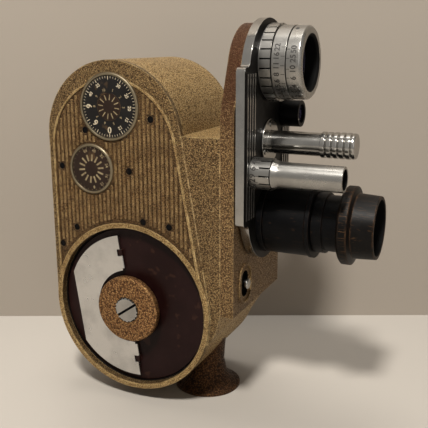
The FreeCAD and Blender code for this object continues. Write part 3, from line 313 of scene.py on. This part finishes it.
GOLD_PAINTS = {
    # valley, face and crest colours, grains in a metre, wear, and the height from which it is brown;
    # the valleys are painted shade in the grain's hollows and the crests a painted highlight on its tops
    "gold_crackle": ((84, 62, 33), (176, 145, 92), (255, 240, 194), 2000.0),
    # a darker copy of the gold, painted shade on the faces that look to the key side
    "gold_rim": ((54, 39, 21), (116, 90, 55), (226, 200, 148), 2600.0, 0.8),
    "gold_housing": ((62, 44, 24), (116, 89, 56), (214, 186, 134), 1900.0, 0.5, 98 * MM),
    "gold_panel": ((74, 53, 30), (124, 97, 61), (198, 170, 120), 2600.0, 0.9),
    # a darker gold, painted shade in the valleys between the ribs
    "gold_valley": ((52, 37, 21), (92, 68, 41), (140, 112, 72), 2600.0, 0.0),
    "gold_bead": ((104, 80, 48), (160, 132, 86), (232, 206, 152), 2300.0, 0.9),
    "gold_hammered": ((70, 44, 24), (138, 99, 60), (214, 174, 118), 1500.0, 0.9),
    # the hammered gold darker, painted shade on the foot
    "gold_foot": ((30, 18, 9), (72, 46, 24), (140, 98, 56), 1500.0, 0.7),
}
METALS = {
    # linear colour, roughness, haze and scratches
    "chrome": ((0.40, 0.39, 0.37), 0.16),
    "plate_chrome": ((0.62, 0.61, 0.59), 0.18, 0.05, 0.6),
    "satin_aluminium": ((0.36, 0.35, 0.33), 0.27),
    "bezel_brass": ((0.30, 0.25, 0.165), 0.34, 0.25, 0.8),
    "steel": ((0.42, 0.40, 0.37), 0.32, 0.2, 0.8),
}
ENAMELS = {
    # display colour, what shows where it is rubbed, and the rest of enamel's values
    "black_lens": ((3, 3, 4), (60, 44, 32), 0.40, 0.0, 0.6, 0.45, 0.1),
    "black_worn": ((9, 7, 6), (104, 74, 48), 0.42, 0.0, 1.0, 0.9, 0.12),
    # black in bores, and painted shade in grooves, slots and recesses
    "bore_black": ((5, 5, 5), (18, 16, 14), 0.6, 0.0, 0.2, 0.35, 0.08),
    # painted shade and dark reflection on the front of the turret plate
    "turret_dark": ((9, 8, 7), (64, 56, 48), 0.42, 0.0, 0.5, 0.35, 0.12),
    "maroon_enamel": ((24, 8, 7), (74, 48, 36), 0.34, 0.0, 0.5, 0.35, 0.14),
    "dial_black": ((20, 18, 17), (110, 84, 56), 0.34, 0.15, 0.8),
    "dial_brown": ((34, 22, 15), (118, 90, 58), 0.40, 0.1, 0.8),
}
INKS = {
    "figure_white": ((214, 202, 176), (140, 120, 90)),
    "figure_dim": ((150, 134, 102), (92, 74, 50)),
    "figure_black": ((26, 24, 23), (60, 56, 52)),
}
MATERIALS = {"lens_glass": coated_glass()}
for make, group in ((crackle_paint, GOLD_PAINTS), (bright_metal, METALS), (enamel, ENAMELS), (ink, INKS)):
    for name, values in group.items():
        MATERIALS[name] = make(name, *values)


# ---------------------------------------------------------------- pieces

def node_shape(node):
    """A merged copy of a CAD node's mesh, flat faces joined."""
    shape = bmesh.new()
    shape.from_mesh(frame["nodes"][node].data)
    bmesh.ops.remove_doubles(shape, verts=shape.verts, dist=MERGE_WITHIN)
    bmesh.ops.dissolve_limit(shape, angle_limit=FLAT_WITHIN, use_dissolve_boundaries=False,
                             verts=shape.verts, edges=shape.edges, delimit=set())
    return shape


def ease_edges(shape, width):
    """Round every sharp edge; width is in millimetres."""
    edges = [e for e in shape.edges if len(e.link_faces) == 2 and e.calc_face_angle(0.0) > BEVEL_ABOVE]
    bmesh.ops.bevel(shape, geom=edges, offset=width * MM, offset_type="OFFSET", affect="EDGES",
                    segments=2, profile=0.5, material=-1, clamp_overlap=True)


def as_piece(shape, name, body, materials, nodes=()):
    """Turn a bmesh into a smooth-shaded piece that rides on a body."""
    mesh = bpy.data.meshes.new(name)
    shape.to_mesh(mesh)
    shape.free()
    for material in materials:
        mesh.materials.append(MATERIALS[material])
    mesh.polygons.foreach_set("use_smooth", [True] * len(mesh.polygons))
    mesh.set_sharp_from_angle(angle=SHARP_ABOVE)
    piece = bpy.data.objects.new(name, mesh)
    bpy.context.scene.collection.objects.link(piece)
    even = piece.modifiers.new("flat_faces", "WEIGHTED_NORMAL")
    even.keep_sharp = True
    even.weight = 80
    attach(piece, body)
    if nodes:
        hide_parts(*nodes)


# Width of the eased edges of each node, in millimetres; other nodes take EASE.
EASE = 0.12
EASED = {"main_casting": 0.5, "front_housing": 0.5, "film_door": 0.5, "mechanism_cover": 0.18, "tripod_foot": 0.3,
         "key_plate": 0.25, "key_boss": 0.4, "turret_plate": 0.25, "tele_hood": 0.25, "tele_barrel": 0.2,
         "wide_front": 0.2, "key_disc": 0.15, "turret_post": 0.15, "tele_focus_ring": 0.2}


def middle(node):
    """The centre of a node's box."""
    low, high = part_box(node)
    return (low + high) / 2


def radius_of(node):
    """Half the height of a round node, in metres."""
    low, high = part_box(node)
    return (high.z - low.z) / 2


def dress(node, paint=None):
    """Replace a node by its eased copy; paint gives each face its material, or None for the slot's."""
    slot = SUBPARTS[node]
    shape = node_shape(node)
    materials = [slot]
    if paint:
        for face in shape.faces:
            material = paint(face) or slot
            if material not in materials:
                materials.append(material)
            face.material_index = materials.index(material)
    ease_edges(shape, EASED.get(node, EASE))
    as_piece(shape, node + "_shown", NODE_BODY[node], materials, [node])


def axis_distance(point, centre):
    """Distance of a point from the line along Y through a centre."""
    return math.hypot(point.x - centre.x, point.z - centre.z)


SKIN = 0.06 * MM                    # how far under the outside a groove's walls begin
ACROSS_AXIS = 0.9                   # a normal's share along an axis from which a face lies across it


def paint_turned(node, grooves=None):
    """Paint a node turned about Y: a black bore, and black painted shade in grooves of the given depth in
    millimetres.
    """
    centre = middle(node)
    outer = radius_of(node)

    def paint(face):
        at = face.calc_center_median()
        outward = Vector((at.x - centre.x, 0, at.z - centre.z))
        if abs(face.normal.y) < ACROSS_AXIS and face.normal.dot(outward) < 0:
            return "bore_black"
        # Painted shade: black at the bottom of the grooves.
        if grooves and abs(face.normal.y) < ACROSS_AXIS:
            reach = axis_distance(at, centre)
            if outer - grooves * MM < reach < outer - SKIN:
                return "bore_black"
        return None

    return paint


# The fluted panel of the mechanism cover: the outline round two circles, the lower about the key.
LOWER = middle("key_disc")
UPPER_PANEL = Vector((0, 26.8, 97.0)) * MM
PANEL_RADII = (31.4 * MM, 26.0 * MM)
BEAD_OUTSIDE, BEAD_INSIDE = 0.9 * MM, -0.3 * MM     # margins of the bead round the panel
FLUTE_HIGH = 0.35 * MM
COVER_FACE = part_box("mechanism_cover")[0].x + FLUTE_HIGH


def inside_panel(point, margin):
    """Whether a point of the cover lies inside the fluted panel, with a margin round it."""
    at, lower, upper = (Vector((p.y, p.z)) for p in (point, LOWER, UPPER_PANEL))
    line = upper - lower
    along = min(1.0, max(0.0, (at - lower).dot(line) / line.length_squared))
    reach = PANEL_RADII[0] + (PANEL_RADII[1] - PANEL_RADII[0]) * along
    return (at - lower.lerp(upper, along)).length < reach + margin


def paint_cover(face):
    """Painted shade on the border and between the ribs, a bright bead round the panel and rubbed ribs inside it."""
    if not all(v.co.x < COVER_FACE + 0.2 * MM and inside_panel(v.co, BEAD_OUTSIDE) for v in face.verts):
        return "gold_rim"
    if not all(inside_panel(v.co, BEAD_INSIDE) for v in face.verts):
        return "gold_bead"
    # Painted shade: the low faces between the ribs take a darker gold.
    low = face.calc_center_median().x > COVER_FACE - 0.15 * MM
    return "gold_valley" if face.normal.x < -ACROSS_AXIS and low else "gold_panel"


RIB_HIGH = 0.45 * MM
TURRET_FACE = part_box("turret_plate")[0].y + RIB_HIGH


def paint_turret(face):
    """The front of the plate is painted dark for its shade and dark reflection, and the tops of its ribs are bare
    metal.
    """
    at = face.calc_center_median().y
    rib_top = face.normal.y < -ACROSS_AXIS and at < TURRET_FACE - 0.3 * MM
    return "turret_dark" if at < TURRET_FACE + 0.05 * MM and not rib_top else None


KEY_SCREW_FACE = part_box("key_screw")[0].x


def paint_key_screw(face):
    """Painted shade: black in the slot of the key's screw."""
    at = face.calc_center_median()
    floor = face.normal.x < -ACROSS_AXIS and at.x > KEY_SCREW_FACE + 0.12 * MM
    wall = abs(face.normal.x) < 0.3 and math.hypot(at.y - LOWER.y, at.z - LOWER.z) < 3.0 * MM
    return "bore_black" if floor or wall else None


STUB_FRONT, STUB_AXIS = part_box("wide_finder_tube")[0].y, middle("wide_finder_tube")
STUB_BORE = paint_turned("wide_finder_tube")


def paint_stub(face):
    """A bright rim round the front of the short finder objective, black elsewhere."""
    at = face.calc_center_median()
    rim = at.y < STUB_FRONT + 0.05 * MM and axis_distance(at, STUB_AXIS) > 3.6 * MM
    return "chrome" if rim else STUB_BORE(face)


def paint_bored(node, material, grooves=None):
    """Paint a turned node in a material other than its slot's, with its bore black and black painted shade in its
    grooves.
    """
    turned = paint_turned(node, grooves)
    return lambda face: turned(face) or material


def paint_casting(face):
    """Painted shade: the key side of the casting takes a darker gold than its top and back."""
    return "gold_rim" if face.normal.x < -0.8 else None


def paint_plain(material):
    """The same material all over a node, other than its slot's."""
    return lambda face: material


HOUSING_FRONT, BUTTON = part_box("front_housing")[0].y, middle("release_button")
RECESS_WIDE, RECESS_HIGH, RECESS_DEEP = 8.0 * MM, 10.4 * MM, 3.0 * MM


def paint_housing(face):
    """Painted shade: black inside the recess of the release button."""
    at = face.calc_center_median()
    near = abs(at.x - BUTTON.x) < RECESS_WIDE / 2 and abs(at.z - BUTTON.z) < RECESS_HIGH / 2
    sunk = at.y > HOUSING_FRONT + 0.75 * MM
    shallow = max(v.co.y for v in face.verts) < HOUSING_FRONT + RECESS_DEEP
    return "bore_black" if near and sunk and shallow else "gold_housing"


# grip grooves to this depth are painted black as painted shade
GRIP_GROOVE = 0.8                   # depth of a grip's grooves in millimetres
PAINTED = {
    "mechanism_cover": paint_cover,
    "main_casting": paint_casting,
    "front_housing": paint_housing,
    # painted shade: the foot takes the darker copy of the hammered gold
    "tripod_foot": paint_plain("gold_foot"),
    "turret_plate": paint_turret,
    "key_plate": paint_plain("plate_chrome"),
    "key_screw": paint_key_screw,
    "footage_bezel": paint_plain("bezel_brass"),
    "speed_bezel": paint_plain("bezel_brass"),
    "wide_barrel": paint_turned("wide_barrel"),
    "wide_front": paint_turned("wide_front"),
    "wide_focus_ring": paint_turned("wide_focus_ring", GRIP_GROOVE),
    "tele_hood": paint_bored("tele_hood", "black_worn"),
    "tele_finder_ring": paint_bored("tele_finder_ring", "satin_aluminium", GRIP_GROOVE),
    "tele_finder_tube": paint_bored("tele_finder_tube", "satin_aluminium"),
    "wide_finder_tube": paint_stub,
}
for node in frame["nodes"]:
    dress(node, PAINTED.get(node))


# ---------------------------------------------------------------- figures, ticks and small fittings

def side_frame(y, z, x):
    """A frame on the key side: its X points to the lenses, its Y up and its Z out of the camera."""
    turn = Matrix(((0, 0, -1), (-1, 0, 0), (0, 1, 0))).to_4x4()
    return Matrix.Translation((x, y, z)) @ turn


def ring_frame(centre, y, radius, degrees):
    """A frame on a ring round a Y axis: 0 degrees faces the key side and 90 the top."""
    angle = math.radians(degrees)
    out = Vector((-math.cos(angle), 0, math.sin(angle)))
    along = Vector((math.sin(angle), 0, math.cos(angle)))
    turn = Matrix((along, Vector((0, 1, 0)), out)).transposed().to_4x4()
    return Matrix.Translation(Vector((centre.x, y, centre.z)) + out * radius) @ turn


def round_the_clock(base, degrees, radius):
    """A place on a dial; 0 degrees is at the top and the angle grows clockwise."""
    return base @ Matrix.Rotation(math.radians(-degrees), 4, "Z") @ Matrix.Translation((0, radius, 0))


PROUD = 0.04                        # how far figures and ticks stand out, in millimetres


class Marks:
    """Raised or filled marks that share one piece."""

    letters = {}

    def __init__(self):
        self.shape = bmesh.new()

    def letter_mesh(self, text):
        """The flat mesh of a figure, made once."""
        if text not in Marks.letters:
            curve = bpy.data.curves.new("figure", "FONT")
            curve.body = text
            curve.align_x, curve.align_y = "CENTER", "CENTER"
            curve.resolution_u = 4
            curve.offset = 0.018
            holder = bpy.data.objects.new("figure", curve)
            flat = bpy.data.meshes.new_from_object(holder)
            bpy.data.objects.remove(holder)
            bpy.data.curves.remove(curve)
            Marks.letters[text] = flat
        return Marks.letters[text]

    def text(self, text, frame_at, size):
        """A figure of the given height in millimetres, standing a little proud."""
        flat = bmesh.new()
        flat.from_mesh(self.letter_mesh(text))
        bmesh.ops.remove_doubles(flat, verts=flat.verts, dist=1e-4)
        walls = bmesh.ops.extrude_face_region(flat, geom=flat.faces[:])
        raised = [v for v in walls["geom"] if isinstance(v, bmesh.types.BMVert)]
        bmesh.ops.translate(flat, verts=raised, vec=(0, 0, PROUD / size))
        flat.transform(frame_at @ Matrix.Scale(size * 1.4 * MM, 4))
        bmesh.ops.recalc_face_normals(flat, faces=flat.faces)
        self.take(flat)

    def block(self, frame_at, wide, high, deep=PROUD):
        """A tick: its width, height and thickness in millimetres."""
        size = Matrix.Diagonal((wide * MM, high * MM, deep * 2 * MM, 1.0))
        bmesh.ops.create_cube(self.shape, size=1.0, matrix=frame_at @ size)

    def dot(self, frame_at, radius, deep=0.05, steps=20):
        """A disc: its radius and thickness in millimetres."""
        bmesh.ops.create_cone(self.shape, cap_ends=True, segments=steps, radius1=radius * MM, radius2=radius * MM,
                              depth=deep * 2 * MM, matrix=frame_at)

    def take(self, other):
        """Add another mesh to these marks."""
        mesh = bpy.data.meshes.new("part")
        other.to_mesh(mesh)
        other.free()
        self.shape.from_mesh(mesh)
        bpy.data.meshes.remove(mesh)

    def finish(self, name, body, material):
        """Make the marks one piece."""
        as_piece(self.shape, name, body, [material])


def dial_face(node):
    """The frame at the middle of a dial's face, and the dial's radius in millimetres."""
    centre = middle(node)
    return side_frame(centre.y, centre.z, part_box(node)[0].x), radius_of(node) / MM


def dress_footage_dial():
    """White ticks round the rim, figures inside them and a spoked centre."""
    base, radius = dial_face("footage_dial")
    marks = Marks()
    for step in range(60):
        long = step % 5 == 0
        marks.block(round_the_clock(base, step * 6, (radius * (0.93 if long else 0.95)) * MM),
                    0.22 if long else 0.14, radius * (0.12 if long else 0.07))
    for degrees, figure in ((270, "9"), (225, "6"), (180, "0")):
        marks.text(figure, round_the_clock(base, degrees, radius * 0.74 * MM), 2.3)
    for degrees, figure in ((30, "30"), (62, "25"), (92, "20"), (120, "15"), (148, "12"), (330, "35"), (300, "40")):
        marks.text(figure, round_the_clock(base, degrees, radius * 0.77 * MM), 1.25)
    marks.finish("footage_figures", "footage_dial", "figure_white")
    inner = Marks()
    for step in range(10):
        inner.text(str(step + 1), round_the_clock(base, 18 + step * 36, radius * 0.55 * MM), 1.0)
    for step in range(12):
        inner.block(round_the_clock(base, step * 30 + 8, radius * 0.31 * MM), 0.36, radius * 0.18, 0.09)
    inner.finish("footage_inner_figures", "footage_dial", "figure_dim")
    hub = Marks()
    hub.dot(base, radius * 0.45, 0.05, 48)
    hub.finish("footage_centre", "footage_dial", "dial_brown")


def dress_speed_dial():
    """Blunt pale spokes at half radius, with small figures outside them."""
    base, radius = dial_face("speed_dial")
    marks = Marks()
    for step in range(14):
        marks.block(round_the_clock(base, step * 360 / 14 + 6, radius * 0.5 * MM), 0.62, radius * 0.3, 0.07)
    for degrees, figure in ((340, "64"), (12, "48"), (44, "32"), (76, "24"), (108, "16"), (140, "12"), (172, "8")):
        marks.text(figure, round_the_clock(base, degrees, radius * 0.83 * MM), 1.1)
    for step in range(28):
        marks.block(round_the_clock(base, step * 360 / 28, radius * 0.96 * MM), 0.14, radius * 0.06)
    marks.finish("speed_figures", "speed_dial", "figure_dim")


def dress_wide_lens():
    """Aperture figures and ticks on the iris ring, a distance scale and a dot on the front barrel."""
    centre = middle("wide_iris_ring")
    radius = radius_of("wide_iris_ring")
    front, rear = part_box("wide_iris_ring")[0].y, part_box("wide_iris_ring")[1].y
    stops = Marks()
    for degrees, figure in ((-57, "2.8"), (-44, "4"), (-31, "5.6"), (-16, "8"), (-3, "11"), (11, "16"), (25, "22")):
        stops.text(figure, ring_frame(centre, rear - 1.9 * MM, radius, degrees), 1.9)
        stops.block(ring_frame(centre, front + 0.8 * MM, radius, degrees), 0.2, 1.4)
    stops.finish("wide_stop_figures", "wide_iris", "figure_black")
    front_y, front_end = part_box("wide_front")[1].y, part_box("wide_front")[0].y
    barrel = radius_of("wide_front")
    scale = Marks()
    for degrees, figure in ((-62, "2"), (-49, "3"), (-36, "4"), (-22, "6"), (-8, "10"), (8, "25"), (22, "50")):
        scale.text(figure, ring_frame(centre, front_y * 0.5 + front_end * 0.5, barrel, degrees), 1.9)
        scale.block(ring_frame(centre, front_y - 0.7 * MM, barrel, degrees), 0.2, 1.1)
    scale.dot(ring_frame(centre, front_y - 1.6 * MM, barrel, 66), 0.65)
    scale.finish("wide_distance_figures", "turret", "figure_black")


def dress_finder_ring():
    """Distance figures and ticks on the ring of the long finder."""
    centre = middle("tele_finder_ring")
    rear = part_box("tele_finder_ring")[1].y
    radius = radius_of("tele_finder_ring")
    marks = Marks()
    for step, figure in enumerate(("25", "12", "9", "6", "4", "3", "2")):
        marks.text(figure, ring_frame(centre, rear - 1.55 * MM, radius, -50 + step * 25), 2.1)
        marks.block(ring_frame(centre, rear - 3.0 * MM, radius, -50 + step * 25), 0.22, 0.8)
    marks.finish("finder_distance_figures", "finder_focus", "figure_black")


def dress_post():
    """Bright screws round the flange of the turret's post."""
    centre = middle("turret_post")
    turn = Matrix.Rotation(math.radians(90), 4, "X")
    heads = Marks()
    for step in range(3):
        angle = math.radians(90 + 120 * step)
        x, z = centre.x + math.cos(angle) * 6.2 * MM, centre.z + math.sin(angle) * 6.2 * MM
        heads.dot(Matrix.Translation((x, TURRET_FACE - 0.8 * MM, z)) @ turn, 0.9, 0.25, 24)
    heads.finish("post_flange_screws", "turret", "chrome")


def dress_hood():
    """Fine straight milling round the flange of the long lens's hood."""
    centre, radius = middle("tele_hood"), radius_of("tele_hood")
    shape = node_shape("tele_hood")
    rim = [v.co.y for v in shape.verts if axis_distance(v.co, centre) > radius - 0.25 * MM]
    shape.free()
    front, rear = min(rim), max(rim)
    ridges = Marks()
    teeth = 84
    for step in range(teeth):
        place = ring_frame(centre, (front + rear) / 2, radius - 0.08 * MM, step * 360 / teeth)
        ridges.block(place, 0.42, (rear - front) / MM - 0.5, 0.08)
    ease_edges(ridges.shape, 0.05)
    ridges.finish("hood_milling", NODE_BODY["tele_hood"], "black_worn")


def belt(low, high, x, out):
    """A flat face round two circles, each (y, z, radius) in millimetres, facing out along X (out is 1 or -1)."""
    shape = bmesh.new()
    turn = Matrix.Rotation(math.radians(90 * out), 4, "Y")
    bmesh.ops.create_circle(shape, cap_ends=True, segments=96, radius=1.0, matrix=turn)
    for vert in shape.verts:
        y, z, radius = high if vert.co.z > 0.08 else low
        vert.co = Vector((x, (y + vert.co.y * radius) * MM, (z + vert.co.z * radius) * MM))
    return shape


def bead_from(shape, width, height, out):
    """Keep a border of the face and raise it as a rounded bead; sizes in millimetres."""
    inner = shape.faces[:]
    bmesh.ops.inset_region(shape, faces=inner, thickness=width * MM, use_boundary=True, use_even_offset=True)
    bmesh.ops.delete(shape, geom=inner, context="FACES")
    raised = bmesh.ops.extrude_face_region(shape, geom=shape.faces[:])
    verts = [v for v in raised["geom"] if isinstance(v, bmesh.types.BMVert)]
    bmesh.ops.translate(shape, verts=verts, vec=(height * out * MM, 0, 0))
    bmesh.ops.recalc_face_normals(shape, faces=shape.faces)
    ease_edges(shape, min(width, height) * 0.45)
    return shape


def dress_disc_ring():
    """The rounded gold ring that stands round the key's recess."""
    circle = (LOWER.y / MM, LOWER.z / MM, 33.05)
    ring = bead_from(belt(circle, circle, COVER_FACE, -1), 1.95, 0.55, -1)
    as_piece(ring, "key_recess_ring", "body", ["gold_bead"])


# The film door's relief, in millimetres: radii below and above, then its ribs and the ring round its latch.
DOOR_BEAD_RADII, DOOR_RIB_RADII = (29.5, 24.5), (28.0, 23.0)
RIB_PITCH, RIB_WIDE, RIB_THICK = 1.77, 0.7, 1.0
LATCH_CLEAR, LATCH_RING = 11.0, 10.4


def rib_spans(y, low, high, latch):
    """Where the door's upright rib at y runs: from below to above, broken round the latch."""
    below = low[2] ** 2 - (y - low[0]) ** 2
    above = high[2] ** 2 - (y - high[0]) ** 2
    if below <= 0 or above <= 0:
        return []
    bottom, top = low[1] - math.sqrt(below), high[1] + math.sqrt(above)
    gap = LATCH_CLEAR ** 2 - (y - latch[0]) ** 2
    if gap <= 0:
        return [(bottom, top)]
    half = math.sqrt(gap)
    return [(bottom, latch[1] - half), (latch[1] + half, top)]


def dress_door():
    """A bead round the film door with upright ribs inside it, as on the mechanism cover."""
    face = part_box("film_door")[1].x
    lower, upper, latch = ((p.y / MM, p.z / MM) for p in (LOWER, UPPER_PANEL, middle("door_latch")))
    outline = belt((*lower, DOOR_BEAD_RADII[0]), (*upper, DOOR_BEAD_RADII[1]), face, 1)
    as_piece(bead_from(outline, 0.9, 0.4, 1), "door_bead", "film_door", ["gold_bead"])
    ribs = bmesh.new()
    for step in range(-15, 16):
        y = lower[0] + step * RIB_PITCH
        for start, end in rib_spans(y, (*lower, DOOR_RIB_RADII[0]), (*upper, DOOR_RIB_RADII[1]), latch):
            size = Matrix.Diagonal((RIB_WIDE * MM, RIB_THICK * MM, (end - start) * MM, 1.0))
            place = Matrix.Translation((face, y * MM, (start + end) / 2 * MM))
            bmesh.ops.create_cube(ribs, size=1.0, matrix=place @ size)
    ease_edges(ribs, 0.2)
    as_piece(ribs, "door_ribs", "film_door", ["gold_panel"])
    circle = (*latch, LATCH_RING)
    disc = bead_from(belt(circle, circle, face, 1), 1.0, 0.4, 1)
    as_piece(disc, "latch_surround", "film_door", ["gold_bead"])


dress_disc_ring()
dress_door()
dress_footage_dial()
dress_speed_dial()
dress_wide_lens()
dress_finder_ring()
dress_post()
dress_hood()


# ---------------------------------------------------------------- set, light and camera

def place_camera():
    """Stand the camera to the key side of the lenses, a little above them."""
    stand = Vector((-234.04, -109.67, 135.75)) * MM
    yaw, pitch, roll = VIEW_YAW, math.radians(14.092), math.radians(-0.136)
    ahead = Vector((math.cos(yaw) * math.cos(pitch), math.sin(yaw) * math.cos(pitch), -math.sin(pitch)))
    side = ahead.cross(Vector((0, 0, 1))).normalized()
    up = side.cross(ahead)
    right = math.cos(roll) * side + math.sin(roll) * up
    top = -math.sin(roll) * side + math.cos(roll) * up
    data = bpy.data.cameras.new("view")
    data.lens = 58.10
    data.sensor_width = 36.0
    data.clip_start = 0.01
    camera = bpy.data.objects.new("view", data)
    turn = Matrix((right, top, -ahead)).transposed().to_4x4()
    camera.matrix_world = Matrix.Translation(stand) @ turn
    bpy.context.scene.collection.objects.link(camera)
    bpy.context.scene.camera = camera


def set_surface(name, corners, colour, fade=None):
    """A flat pale surface of the set: faded out between two distances, or clear from behind without them."""
    mesh = bpy.data.meshes.new(name)
    shape = bmesh.new()
    shape.faces.new([shape.verts.new(corner) for corner in corners])
    shape.to_mesh(mesh)
    shape.free()
    surface = Finish(name, specular=0.2)
    tone = surface.mix(surface.noise(surface.place(), 6.0, 2.0), colour, dimmed(colour, 0.94))
    surface.done(tone, 0.7)
    if fade:
        reach = surface.add("VectorMath", {"operation": "LENGTH"})
        surface.feed(reach.inputs[0], surface.place())
        hidden = surface.spread(reach.outputs["Value"], *fade)
    else:
        hidden = surface.add("NewGeometry").outputs["Backfacing"]
    output = next(n for n in surface.tree.nodes if n.type == "OUTPUT_MATERIAL")
    choose = surface.add("MixShader")
    surface.feed(choose.inputs[0], hidden)
    surface.feed(choose.inputs[1], surface.shader.outputs[0])
    surface.feed(choose.inputs[2], surface.add("BsdfTransparent").outputs[0])
    surface.feed(output.inputs["Surface"], choose.outputs[0])
    mesh.materials.append(surface.material)
    board = bpy.data.objects.new(name, mesh)
    bpy.context.scene.collection.objects.link(board)
    board.visible_shadow = fade is not None


def lamp(name, place, target, size, watts, colour):
    """A round lamp, aimed from its place at a target."""
    data = bpy.data.lights.new(name, "AREA")
    data.shape = "DISK"
    data.size = size
    data.energy = watts
    data.color = colour
    light = bpy.data.objects.new(name, data)
    light.location = place
    light.rotation_euler = (Vector(target) - Vector(place)).to_track_quat("-Z", "Y").to_euler()
    bpy.context.scene.collection.objects.link(light)


def light_world(strength, shown):
    """An even pale surround: one strength lights the object, and another is what rays see directly."""
    world = bpy.data.worlds.new("studio")
    world.use_nodes = True
    net = Net(world.node_tree)
    output = next(n for n in world.node_tree.nodes if n.type == "OUTPUT_WORLD")
    lit = next(n for n in world.node_tree.nodes if n.type == "BACKGROUND")
    seen = net.add("Background", None, Color=(0.92, 0.88, 0.82, 1.0), Strength=shown)
    lit.inputs["Color"].default_value = (1.0, 0.97, 0.92, 1.0)
    lit.inputs["Strength"].default_value = strength
    rays = net.add("LightPath").outputs
    direct = net.math("MAXIMUM", rays["Is Camera Ray"],
                      net.math("MAXIMUM", rays["Is Glossy Ray"], rays["Is Transmission Ray"]))
    choose = net.add("MixShader")
    net.feed(choose.inputs[0], direct)
    net.feed(choose.inputs[1], lit.outputs[0])
    net.feed(choose.inputs[2], seen.outputs[0])
    net.feed(output.inputs["Surface"], choose.outputs[0])
    bpy.context.scene.world = world


place_camera()
AWAY = Vector((math.cos(VIEW_YAW), math.sin(VIEW_YAW), 0))
ACROSS = Vector((AWAY.y, -AWAY.x, 0))
WALL = AWAY * 70 * MM               # the foot of the backdrop, straight behind the camera body
FLOOR_REACH, WALL_REACH = 9, 2
FLOOR_CORNERS = [(x * FLOOR_REACH, y * FLOOR_REACH, 0) for x, y in ((-1, -1), (1, -1), (1, 1), (-1, 1))]
LEFT_FOOT, RIGHT_FOOT = WALL - ACROSS * WALL_REACH, WALL + ACROSS * WALL_REACH
RISE = Vector((0, 0, WALL_REACH))
set_surface("floor", FLOOR_CORNERS, tint(174, 168, 160), fade=(0.35, 0.75))
set_surface("backdrop", [LEFT_FOOT, RIGHT_FOOT, RIGHT_FOOT + RISE, LEFT_FOOT + RISE], tint(162, 153, 142))
light_world(0.09, 0.46)
lamp("key", (-0.42, -0.10, 0.70), (0, 0.01, 0.06), 0.11, 7.8, (1.0, 0.96, 0.90))
lamp("fill", (-0.5, -0.6, 0.35), (0, 0, 0.07), 0.6, 0.5, (1.0, 0.97, 0.94))
lamp("top", (0.12, 0.08, 0.85), (0, 0.01, 0.1), 0.4, 2.6, (1.0, 0.97, 0.92))
lamp("back", (0.6, 0.45, 0.5), (0, 0.01, 0.07), 0.5, 1.3, (1.0, 0.97, 0.93))
bpy.context.scene.view_settings.view_transform = "Standard"
